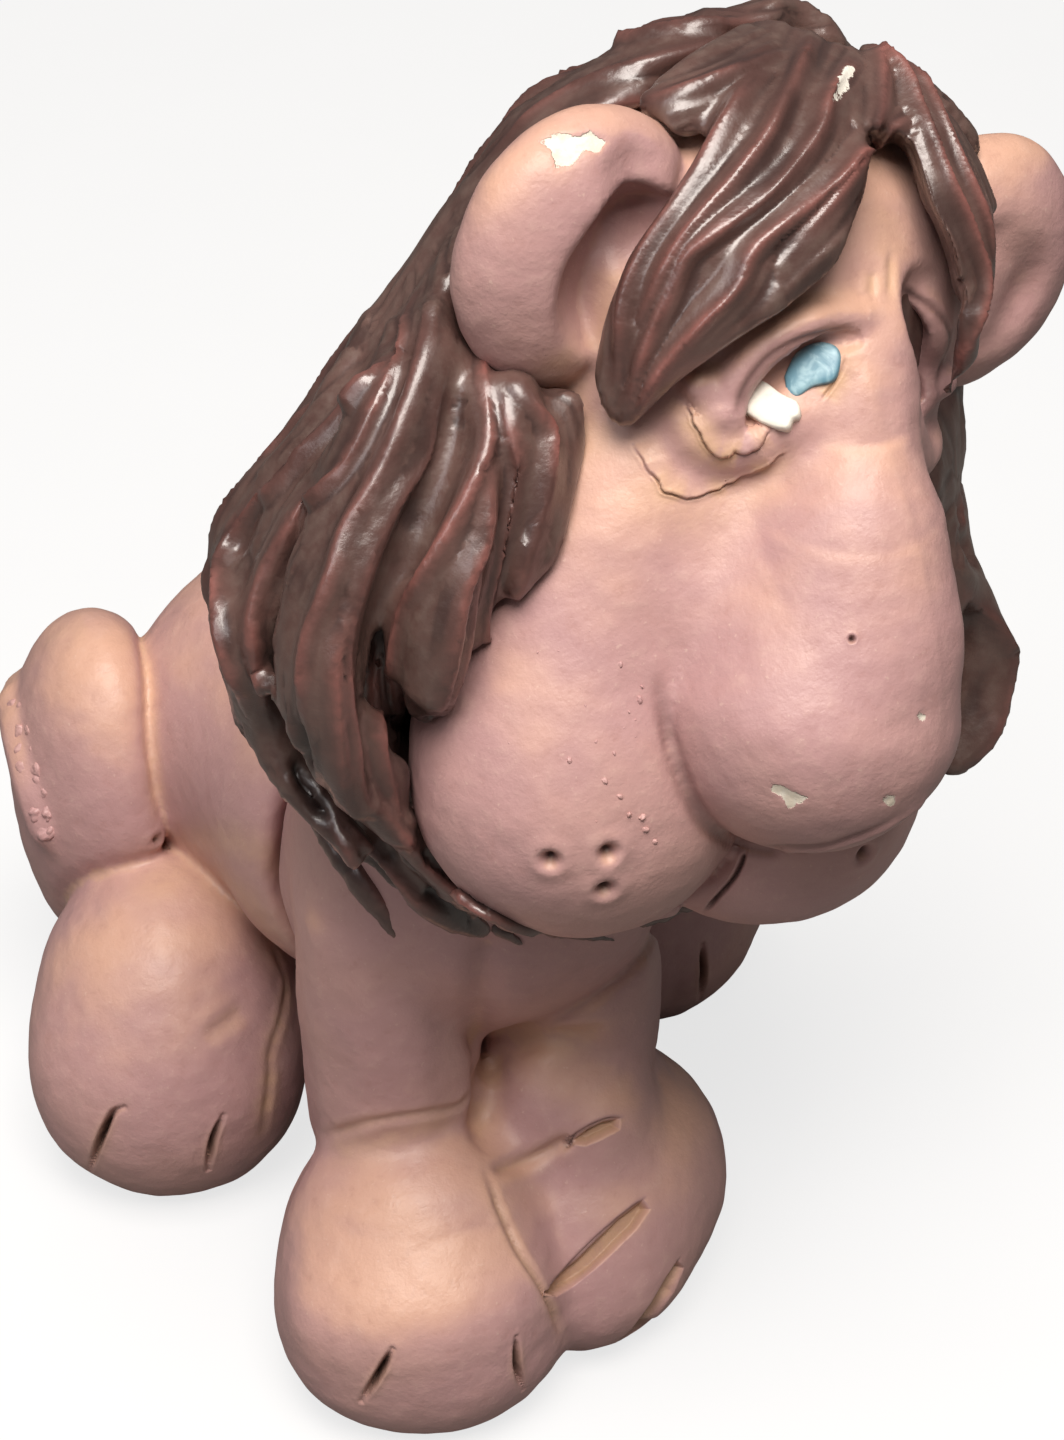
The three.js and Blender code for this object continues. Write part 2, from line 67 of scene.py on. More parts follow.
# Each solid's softening, and the width over which it is worked into the clay before it, in millimetres.
# A pair stands for a fold instead, filled between those two heights over the middle of the ears.
HEAD_NODES = {
    "skull": (2.0, 1.0),
    "right_jowl": (1.6, (-58, -40)),
    "left_jowl": (1.6, (-58, -40)),
    "nose": (1.2, (-50, -32)),
    "chin": (1.2, 1.5),
    "right_ear": (1.0, 2.0),
    "left_ear": (1.4, 2.0),
    "right_lower_lid": (0.6, 4.0),
    "left_lower_lid": (0.6, 4.0),
}
RELAID_NODES = ["right_brow", "left_brow"]
FORE_NODES = {
    "chest": (2.4, 1.0),
    "right_front_leg": (1.8, 3.5),
    "left_front_leg": (1.8, 2.0),
    "right_front_paw": (1.8, 3.0),
    "left_front_paw": (1.8, 4.0),
}
HIND_NODES = {
    "trunk": (2.6, 1.0),
    "right_haunch": (2.2, 2.0),
    "left_haunch": (2.2, 2.0),
    "right_hind_paw": (1.8, 2.5),
    "left_hind_paw": (1.8, 2.5),
    "tail": (0.7, 2.0),
    "tail_tuft": (0.7, 2.0),
}
FRINGE_NODES = [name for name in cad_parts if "_fringe_lock_" in name]
MANE_NODES = ["mane_core"] + [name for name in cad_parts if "lock" in name and name not in FRINGE_NODES]

# Places named by pixels of the photograph, which is taken as 1064 wide and 1440 high
MANE_STRANDS = [
    (
        [3.4, 3.8, 3.5, 3.1, 2.4, 1.0],
        [(522, 392), (532, 463), (522, 528), (513, 586), (503, 638), (490, 680)],
    ),
    (
        [2.4, 2.8, 3.2, 3.7, 3.9, 3.2],
        [(474, 392), (477, 463), (464, 528), (445, 586), (432, 638), (422, 692)],
    ),
    (
        [2.0, 2.6, 3.0, 3.2, 3.4, 3.6, 3.6, 3.4, 2.4],
        [
            (429, 308), (429, 379), (406, 450), (374, 521), (351, 586), (338, 650), (338, 715),
            (351, 780), (367, 812),
        ],
    ),
    (
        [2.4, 3.0, 3.4, 3.6, 3.8, 3.4, 0.8],
        [(393, 328), (367, 405), (322, 476), (283, 541), (264, 605), (264, 663), (279, 706)],
    ),
    (
        [2.5, 3.0, 3.4, 3.6, 3.6, 3.4, 3.2, 3.0, 2.4],
        [
            (367, 321), (316, 418), (258, 489), (228, 547), (226, 605), (238, 670), (262, 742),
            (302, 804), (345, 850),
        ],
    ),
    ([3.0, 3.6, 3.8, 3.6, 2.8], [(958, 560), (982, 620), (988, 670), (982, 720), (960, 765)]),
]
BEARD_STRANDS = [
    ([2.0, 2.4, 1.8, 0.7], [(330, 826), (362, 874), (384, 906), (400, 929)]),
    ([2.0, 2.6, 1.9, 1.0], [(352, 826), (398, 882), (428, 912), (454, 934)]),
    ([2.4, 3.2, 2.6, 0.9], [(384, 815), (426, 864), (475, 905), (518, 935)]),
    ([2.0, 2.6, 2.0, 0.8], [(432, 856), (480, 889), (535, 916), (588, 931)]),
    ([1.0, 1.5, 1.2, 0.9], [(470, 880), (525, 910), (570, 925), (606, 932)]),
]
MANE_GAPS = [
    (1.2, 2.2, [(292, 716), (300, 755), (312, 800), (330, 825)]),
    (1.0, 1.6, [(384, 724), (415, 730), (445, 722)]),
    (0.7, 1.6, [(412, 842), (455, 880), (505, 912), (550, 930)]),
    (0.7, 1.6, [(386, 846), (420, 884), (460, 916), (492, 938)]),
    (0.7, 1.6, [(362, 852), (388, 885), (412, 915), (430, 935)]),
]
RIGHT_MANE_CRESTS = [
    [(400, 355), (375, 372), (329, 430), (274, 489), (232, 536), (219, 578), (222, 640), (245, 705)],
    [(409, 300), (400, 355), (379, 401), (346, 464), (308, 506), (266, 569), (252, 640), (268, 715)],
    [
        (426, 317), (419, 363), (405, 405), (392, 443), (371, 485), (346, 527), (333, 569), (320, 603),
        (304, 649), (300, 720),
    ],
    [(443, 401), (426, 460), (400, 502), (375, 553), (363, 590), (348, 650), (352, 720), (365, 795)],
    [
        (472, 325), (485, 384), (489, 439), (472, 489), (443, 544), (417, 586), (400, 620), (392, 679),
        (398, 712),
    ],
    [(491, 468), (485, 536), (464, 595), (447, 679), (438, 717)],
    [(522, 388), (548, 426), (548, 477), (539, 519), (527, 561), (505, 630), (493, 687)],
    [(480, 569), (464, 658), (443, 721)],
    [(505, 400), (515, 455), (510, 510), (495, 560), (485, 610), (475, 665)],
    [(346, 611), (335, 670), (340, 740), (350, 813)],
    [(380, 640), (372, 700), (382, 760), (400, 810)],
]
FRINGE_CRESTS = [
    [
        (904, 118), (872, 143), (844, 175), (797, 214), (754, 250), (736, 286), (700, 325), (660, 372),
        (634, 420),
    ],
    [
        (854, 61), (829, 100), (819, 132), (790, 171), (754, 204), (711, 236), (686, 257), (669, 296),
        (648, 345), (630, 400),
    ],
    [(758, 71), (726, 118), (697, 168), (669, 211), (644, 250), (629, 286), (622, 321), (620, 375)],
    [(878, 40), (884, 80), (880, 120), (862, 160), (830, 205), (790, 245)],
    [(812, 40), (790, 90), (768, 135), (735, 178), (702, 215), (668, 262), (640, 318)],
    [(869, 36), (905, 85), (930, 140), (950, 190), (972, 240), (982, 290), (965, 350), (942, 425)],
    [(885, 36), (925, 89), (950, 143), (972, 190), (992, 235), (1000, 285), (985, 330)],
]
CROWN_CRESTS = [
    [(761, 21), (654, 32), (583, 54), (511, 93), (469, 143)],
    [(768, 35), (690, 50), (610, 72), (540, 108), (490, 150)],
    [(772, 50), (720, 75), (660, 95), (600, 108)],
    [(745, 8), (650, 16), (570, 36), (500, 74), (452, 128), (400, 220), (360, 300)],
]
LEFT_MANE_CRESTS = [
    [(965, 595), (1000, 630), (1010, 670), (1000, 710), (975, 760), (955, 785)],
    [(975, 360), (968, 440), (958, 530)],
]
NOSE_CREASE = [
    (655, 664), (664, 714), (675, 753), (689, 796), (707, 828), (729, 842), (757, 851), (793, 851),
    (829, 848), (875, 831), (918, 806),
]
LIP_SPLIT = [(745, 848), (741, 864), (732, 881), (716, 899), (704, 912)]
MOUTH = [(686, 915), (696, 912), (711, 921), (729, 926)]
WHISKER_PITS = [(550, 862), (609, 856), (605, 892), (864, 855)]
NOSE_PINHOLE = (852, 639)
BROW_HOOD = [(864, 314), (835, 316), (803, 323), (770, 339), (747, 361), (730, 388), (724, 412)]
HOOD_EDGE = [(860, 327), (833, 332), (805, 339), (775, 354), (755, 374), (742, 396), (735, 421)]
HOOD_UNDERCUT = [(858, 339), (835, 343), (810, 350), (787, 363), (770, 382), (757, 404), (750, 420)]
HOOD_FLAP = [(700, 384), (716, 400), (731, 420)]
LEFT_SOCKET = [(922, 312), (930, 340), (934, 372)]
LEFT_CHEEK = [(922, 318), (928, 345), (930, 380), (934, 415)]
NOSE_FLANK = [(912, 530), (922, 575), (932, 625)]
JOWL_CRUMBS = [
    (604, 781), (620, 797), (630, 815), (643, 817), (646, 830), (586, 706), (614, 753), (620, 664),
    (596, 742), (655, 842), (640, 700), (570, 760),
]
JOWL_FIELD = [(480, 600), (645, 835)]
LID_CRACK = [(685, 405), (695, 424), (705, 444), (720, 457), (733, 449), (743, 451), (756, 444), (771, 429)]
EYE_BAG = [
    (633, 447), (646, 465), (661, 485), (684, 498), (702, 495), (718, 488), (735, 477), (758, 467),
    (789, 452),
]
EYE_CORNER = [(848, 345), (843, 368), (827, 393), (821, 401)]
FROWN = [[(873, 268), (873, 299)], [(891, 245), (891, 304)]]
RIGHT_IRIS = [
    (785, 377), (797, 354), (818, 343), (838, 349), (840, 366), (833, 382), (813, 387), (798, 396),
    (787, 392),
]
EAR_HOLLOW = [(636, 175), (640, 205), (632, 240)]
EAR_MOUTH = [(634, 205), (640, 235), (640, 262)]
FRINGE_TRIMS = [
    [(884, 158), (897, 205), (924, 255), (936, 300)],
    [(1012, 236), (1018, 285), (1006, 330), (996, 362), (976, 400), (963, 432)],
]
EYE_WHITE = [
    (741, 401), (749, 385), (763, 385), (775, 392), (787, 399), (799, 406), (801, 419), (794, 423),
    (790, 432), (779, 431), (767, 426), (755, 421), (745, 413),
]
FACE_TANS = [
    (4.0, 0.5, [(556, 340), (576, 400), (590, 470)]),
    (2.6, 0.6, [(612, 262), (608, 312), (598, 362)]),
    (3.0, 0.4, [(884, 205), (890, 262)]),
    (3.0, 0.45, [(622, 470), (684, 512), (760, 482), (806, 440)]),
]
HIND_TANS = [
    (4.5, 0.5, [(120, 902), (190, 870), (250, 905), (290, 985)]),
    (3.0, 0.45, [(160, 846), (230, 842), (300, 872)]),
    (4.0, 0.35, [(40, 640), (90, 625)]),
]
FORE_TANS = [
    (2.6, 0.5, [(322, 1156), (400, 1136), (465, 1114)]),
    (3.0, 0.4, [(505, 1034), (560, 1040), (622, 1030)]),
]
HAUNCH_GROOVE = [(143, 632), (148, 686), (152, 749), (158, 825)]
HAUNCH_NOTCH = (158, 840)
HIND_SEAM = [(269, 939), (286, 981), (282, 1015), (271, 1052), (269, 1086), (261, 1149)]
HIND_SLITS = [
    [(124, 1108), (114, 1112), (107, 1124), (97, 1149), (84, 1191)],
    [(223, 1116), (213, 1141), (208, 1170)],
    [(703, 945), (703, 975), (700, 1000)],
]
HIND_FOLD = [(244, 1010), (225, 1024), (202, 1040)]
LEG_CREASE = [(311, 1138), (327, 1135), (376, 1121), (422, 1114), (460, 1106), (480, 1077)]
PAW_CREASE = [(487, 1173), (499, 1207), (518, 1249), (545, 1291), (564, 1341)]
LEFT_LEG_CREASE = [(499, 1032), (540, 1040), (580, 1038), (612, 1026)]
LEG_SPLIT = [(494, 925), (487, 965), (480, 1010), (478, 1055), (480, 1092)]
PAW_COLLAR = [(338, 1184), (400, 1180), (455, 1168)]
PAW_BROW = [(325, 1312), (400, 1322), (475, 1308), (515, 1286)]
PAW_TOP = [(335, 1240), (400, 1236), (462, 1224)]
TOE_TOP = [(512, 1120), (550, 1109), (588, 1114)]
TOE_VALLEY = [(486, 1160), (480, 1122), (483, 1082), (500, 1052), (545, 1042), (590, 1048), (622, 1068)]
FRONT_SLITS = [[(392, 1350), (378, 1376), (361, 1402)], [(517, 1338), (517, 1364), (524, 1391)]]
TOE_CREASE = [(490, 1171), (525, 1161), (556, 1147), (575, 1136)]
TOE_WEDGES = [
    [(572, 1143), (586, 1131), (604, 1122), (620, 1119), (619, 1129), (602, 1138), (586, 1145)],
    [
        (546, 1293), (570, 1267), (594, 1243), (620, 1218), (643, 1201), (649, 1209), (636, 1228),
        (614, 1250), (592, 1270), (572, 1286), (556, 1296),
    ],
    [
        (610, 1350), (632, 1331), (652, 1304), (667, 1278), (678, 1262), (683, 1268), (673, 1292),
        (656, 1316), (638, 1337), (618, 1353),
    ],
]
TOE_SHADES = [
    [(564, 1149), (584, 1131), (606, 1121), (622, 1119)],
    [(548, 1290), (594, 1242), (645, 1199)],
    [(606, 1351), (633, 1331), (655, 1301), (680, 1260)],
]
WHITE_CHIPS = {
    "ear": [
               (536, 140), (560, 134), (590, 132), (608, 140), (598, 152), (585, 150), (572, 166),
               (556, 168), (552, 152),
           ],
    "nose": [(768, 785), (782, 787), (809, 799), (789, 806)],
    "nose_side": [(884, 794), (896, 797), (892, 805), (883, 803)],
    "bulb": [(918, 712), (927, 714), (926, 722), (919, 721)],
}
MANE_CHIPS = {
    "edge": [(440, 178), (458, 157), (469, 160), (452, 193)],
    "crown": [(833, 98), (842, 72), (854, 64), (848, 88), (838, 102)],
    "front": [(911, 50), (922, 46), (929, 60), (924, 75), (914, 64)],
}
TUFT_BUMPS = [(10, 703), (19, 728), (27, 770), (36, 796), (42, 830)]
PIXELS_PER_MM = 8
FINE_STEP = 1.5
SLIT_STEP = 2.0


class Groove(typing.NamedTuple):
    """A tool that presses a groove, in millimetres.

    Each mark of paint has a strength and a spread in widths, and the darkening one paints shade into the
    groove. The lip is the clay pushed up beside the groove.
    The taper is the share of its length over which it ends, and a broken groove fades here and there.
    """

    width: float
    depth: float
    marks: dict = {}
    lip: float = 0.0
    taper: float = 0.15
    broken: float = 0.0


# These grooves paint shade, near black, into the nose fold, the mouth, the torn lid lines, the pits, the toe
# slits, under the hood and on the left cheek under the fringe
NOSE_FOLD = Groove(0.9, 0.6, {"dark": (0.38, 1.3)})
LIP_CUT = Groove(0.28, 0.9, {"dark": (0.95, 1.1)}, 0.06)
MOUTH_CUT = Groove(0.28, 0.6, {"dark": (0.8, 1.1)}, 0.06)
HOOD_SHADE = Groove(0.55, 0.3, {"dark": (0.55, 1.2)})
LID_TEAR = Groove(0.2, 0.25, {"dark": (0.4, 1.0), "wash": (0.7, 10.0)}, 0.1, broken=0.9)
BAG_TEAR = Groove(0.2, 0.22, {"dark": (0.2, 1.0), "wash": (0.65, 9.0)}, 0.14, broken=0.9)
CORNER_TEAR = Groove(0.2, 0.25, {"wash": (0.8, 8.0), "dark": (0.3, 0.9)}, 0.05, broken=0.5)
FROWN_LINE = Groove(0.5, 0.2, {"wash": (0.7, 2.0)}, 0.06, 0.3)
CHEEK_SHADE = Groove(2.4, 0.0, {"dark": (0.45, 1.0)})
WHISKER_PIT = Groove(0.95, 1.6, {"dark": (0.95, 0.85)}, 0.25, 0)
PINHOLE = Groove(0.3, 1.0, {"dark": (0.9, 1.2)}, 0.08, 0)
TOE_SLIT = Groove(0.42, 0.0, {"dark": (0.95, 1.4), "wash": (0.5, 2.6)}, 0.15, 0.4)
TOE_SHADE = Groove(0.35, 0.7, {"dark": (0.8, 1.2)})
# Creases and notches of the legs and paws, some with painted shade in their hollows
FORE_GROOVES = [
    (TOE_CREASE, Groove(1.0, 1.0, {"wash": (0.4, 1.6), "dark": (0.2, 0.6)}, 0.1)),
    (LEG_CREASE, Groove(0.7, 0.5, {"wash": (0.4, 2.0), "dark": (0.12, 0.8)}, 0.1)),
    (PAW_CREASE, Groove(0.6, 0.7, {"wash": (0.6, 2.0), "dark": (0.3, 0.8)}, 0.1)),
    (LEFT_LEG_CREASE, Groove(1.4, 0.5, {"wash": (0.7, 2.0)}, 0.1)),
    (LEG_SPLIT, Groove(2.2, 1.3)),
    (TOE_VALLEY, Groove(2.4, 1.5, {"wash": (0.35, 1.4)})),
]
# Grooves of the hindquarters; the notch and the seam get painted shade
HIND_GROOVES = [
    (HAUNCH_GROOVE, Groove(1.0, 0.1, {"wash": (0.6, 1.6)})),
    ([HAUNCH_NOTCH], Groove(0.7, 1.2, {"dark": (0.8, 1.0)}, 0.2, 0)),
    (HIND_SEAM, Groove(0.7, 0.25, {"wash": (0.55, 3.0), "dark": (0.1, 0.7)}, 0.1, broken=0.4)),
    (HIND_FOLD, Groove(1.2, 0.3, {"wash": (0.4, 1.6)}, 0.15)),
]

# Clay raised beside a tear: height, half the width of its edge, and how far it falls off
LID_LEDGE = (0.75, 0.16, 3.0)
BAG_LEDGE = (0.55, 0.2, 4.0)
CREASE_REACH = 3.0
CREASE_RUBS = 10
PIT_RISE = np.array([0, 0, 0.3])

# Round tools: a line, how far the axis stands out of the skin, the radius and the blend, in millimetres
HEAD_TOOLS = [
    (EAR_HOLLOW, 3.4, 5.0, 2.0),
    (NOSE_CREASE, -1.0, 1.4, 0.8),
    (NOSE_FLANK, -6.4, 8.0, 7.0),
    (LEFT_SOCKET, 2.6, 5.6, 1.5),
]
FORE_TOOLS = [
    (PAW_COLLAR, -4.4, 7.0, 5.0),
    (PAW_BROW, -4.8, 7.0, 5.0),
    (PAW_TOP, -11.0, 12.0, 5.0),
    (TOE_TOP, -3.0, 8.5, 5.0),
]


def length(name, description, size):
    """A property that holds a length, given in millimetres."""
    return bpy.props.FloatProperty(name=name, description=description, default=size * MM, unit="LENGTH")


def angle(name, description, degrees):
    """A property that holds an angle."""
    turn = math.radians(degrees)
    return bpy.props.FloatProperty(name=name, description=description, subtype="ANGLE", default=turn)


def amount(name, description, value):
    """A property that holds a plain number."""
    return bpy.props.FloatProperty(name=name, description=description, default=value)


def colour(name, description, *shade):
    """A property that holds a colour of paint."""
    return bpy.props.FloatVectorProperty(name=name, description=description, subtype="COLOR", default=shade)


class LionClay(bpy.types.PropertyGroup):
    """Sizes of the modelling"""

    grain: length("Grain", "Finest step of the modelled clay", 0.6)
    hand_marks: length("Hand marks", "Height of the dents left by the fingers", 0.28)
    crest_height: length("Crest height", "Height of the combed crests of the mane", 1.9)
    crest_width: length("Crest width", "Width over which a crest falls away", 1.3)
    slit_depth: length("Slit depth", "Depth of the slits between the toes", 2.6)
    crumb_size: length("Crumb size", "Size of the crumbs of clay stuck to the hide", 0.5)


class LionPaint(bpy.types.PropertyGroup):
    """Colours of the paint"""

    hide: colour("Hide", "Dusty pink of the hide", 0.55, 0.325, 0.295)
    # Painted warm light, laid on what faces up and on raised places
    painted_warm_light: colour("Blush", "Warm peach rubbed on raised places", 0.65, 0.385, 0.28)
    mauve: colour("Mauve", "Cooler pink low on the figure", 0.49, 0.285, 0.28)
    wash: colour("Wash", "Ochre wash left in the creases", 0.64, 0.40, 0.255)
    # Painted shade: near black laid into slits, pits, creases, gaps and under the hood, where shade falls
    slit: colour("Slit", "Dark paint in slits and pits", 0.035, 0.012, 0.009)
    clay: colour("Clay", "Bare white clay where paint has chipped", 0.83, 0.79, 0.70)
    mane: colour("Mane", "Dark brown of the mane", 0.078, 0.037, 0.031)
    crest: colour("Crest", "Worn reddish pink of the mane's crests", 0.25, 0.095, 0.08)
    iris: colour("Iris", "Blue of the irises", 0.14, 0.29, 0.37)


# The point on the floor under the body's middle, from which the head and the view are measured
BODY_AT = np.array([-2.92, -15.12, 0.0])
LOOK_HEIGHT = np.array([0, 0, 95])


class LionStage(bpy.types.PropertyGroup):
    """Camera, floor and light"""

    azimuth: angle("Azimuth", "Camera's turn round the figure", -24)
    elevation: angle("Elevation", "Camera's height over the floor", 38)
    distance: length("Distance", "Camera to the point looked at", 400)
    focus: amount("Focal length", "In pixels of the photograph", 3050)
    look_at: bpy.props.FloatVectorProperty(
        name="Look at",
        description="Point in the middle of the view",
        subtype="XYZ",
        default=tuple((BODY_AT + LOOK_HEIGHT) * MM),
    )
    floor_width: length("Floor width", "Width of the pale floor", 6000)
    key_power: amount("Key power", "Warm light from above", 13.2)
    fill_power: amount("Fill power", "Cool light, left", 1.7)
    ambient: amount("Ambient", "Even light all round", 0.11)


PHOTO = (1064, 1440)
HEAD_AT = BODY_AT + np.array([27, -12, 165])
HEAD_TURN, HEAD_LEAN, HEAD_NOD = np.radians([7.5, 22.0, -1.5])


def grain_of(piece):
    """The grain of a piece's clay, in millimetres."""
    return GRAINS[piece] * bpy.context.scene.lion_clay.grain / MM


def head_axes():
    """The head's own left, back and up, as columns."""
    cz, sz = math.cos(HEAD_TURN), math.sin(HEAD_TURN)
    cy, sy = math.cos(HEAD_LEAN), math.sin(HEAD_LEAN)
    cx, sx = math.cos(HEAD_NOD), math.sin(HEAD_NOD)
    turn = np.array([[cz, -sz, 0], [sz, cz, 0], [0, 0, 1]])
    lean = np.array([[cy, 0, sy], [0, 1, 0], [-sy, 0, cy]])
    nod = np.array([[1, 0, 0], [0, cx, -sx], [0, sx, cx]])
    return turn @ lean @ nod


def viewpoint():
    """Eye, right, up and back of the photograph's camera, in millimetres."""
    stage = bpy.context.scene.lion_stage
    az, el = stage.azimuth, stage.elevation
    back = np.array([math.sin(az) * math.cos(el), -math.cos(az) * math.cos(el), math.sin(el)])
    right = np.array([math.cos(az), math.sin(az), 0.0])
    up = np.cross(back, right)
    eye = np.array(stage.look_at) / MM + back * stage.distance / MM
    return eye, right, up, back


def rays(pixels):
    """Directions from the eye through pixels of the photograph."""
    eye, right, up, back = viewpoint()
    offset = (np.asarray(pixels, float) - np.array(PHOTO) / 2) / bpy.context.scene.lion_stage.focus
    towards = offset[:, :1] * right - offset[:, 1:] * up - back
    return eye, towards / np.linalg.norm(towards, axis=1, keepdims=True)


def pixels_of(points):
    """Where points are seen in the photograph."""
    eye, right, up, back = viewpoint()
    away = points - eye
    depth = -away @ back
    focus = bpy.context.scene.lion_stage.focus
    across = PHOTO[0] / 2 + focus * (away @ right) / depth
    down = PHOTO[1] / 2 - focus * (away @ up) / depth
    return np.stack([across, down], 1)


def smooth_line(points, step):
    """A curve through the points, sampled at about that step."""
    points = np.asarray(points, float)
    knots = points
    if len(points) > 2:
        ends = np.vstack([2 * points[0] - points[1], points, 2 * points[-1] - points[-2]])
        knots = []
        for a, b, c, d in zip(ends, ends[1:], ends[2:], ends[3:]):
            bend, twist = 2 * a - 5 * b + 4 * c - d, 3 * b - a - 3 * c + d
            knots += [0.5 * (2 * b + (c - a) * t + bend * t**2 + twist * t**3) for t in np.arange(0, 1, 0.1)]
        knots = np.array(knots + [points[-1]])
    lengths = np.concatenate([[0], np.cumsum(np.linalg.norm(np.diff(knots, axis=0), axis=1))])
    count = max(int(lengths[-1] / step), 2)
    at = np.linspace(0, lengths[-1], count + 1)
    return np.stack([np.interp(at, lengths, knots[:, k]) for k in range(points.shape[1])], 1)


def along_line(line, values, knots=None):
    """Values at even places, or at knots from 0 to 1, run along a line's points."""
    knots = np.linspace(0, 1, len(values)) if knots is None else knots
    return np.interp(np.linspace(0, 1, len(line)), knots, values)


TEAR_STEP, TEAR_LENGTH, TEAR_WIDTH = 4.0, 11, 3.8
TEAR_SEED = 7  # without a seed, noise_vector starts from the clock


def torn(pixels, seed):
    """A line of pixels made uneven, as clay tears."""
    noise.seed_set(TEAR_SEED)
    line = smooth_line(pixels, TEAR_STEP)
    shift = [noise.noise_vector(Vector((x / TEAR_LENGTH, y / TEAR_LENGTH, seed))) for x, y in line]
    return line + TEAR_WIDTH * np.array(shift)[:, :2]


def ease(low, high, value):
    """Smooth step from 0 at low to 1 at high."""
    t = np.clip((value - low) / (high - low), 0, 1)
    return t * t * (3 - 2 * t)


def joined(a, b, blend):
    """Two depths of clay worked together over the blend's width."""
    fill = np.maximum(blend - np.abs(a - b), 0) / blend
    return np.minimum(a, b) - fill * fill * blend / 4


def solid_of(node):
    """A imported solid's points in millimetres, with its loose triangles merged."""
    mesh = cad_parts[node].data
    places = np.empty(len(mesh.vertices) * 3, np.float32)
    mesh.vertices.foreach_get("co", places)
    mesh.calc_loop_triangles()
    corners = np.empty(len(mesh.loop_triangles) * 3, np.int32)
    mesh.loop_triangles.foreach_get("vertices", corners)
    points, merged = np.unique(np.round(places.reshape(-1, 3) / MM, 3), axis=0, return_inverse=True)
    return points.astype(np.float32), merged.reshape(-1)[corners].reshape(-1, 3).astype(np.uint32)


# Room kept round the solids and rolls, in millimetres, and how far from a surface its depth is known
CLAY_MARGIN, ROLL_MARGIN, CLAY_REACH = 6, 4, 11.0

# How a ray walks to the clay: the depth at which it has arrived, and its strides as a share of that depth
TOUCH, STRIDE, LEAST_STRIDE, MOST_STRIDES = 0.03, 0.7, 0.05, 160
RAY_START = 90

# Points on each side over which a bridge is evened, and the cubic millimetres below which a shell is a speck
BRIDGE_EASE = 3
LEAST_VOLUME = 20


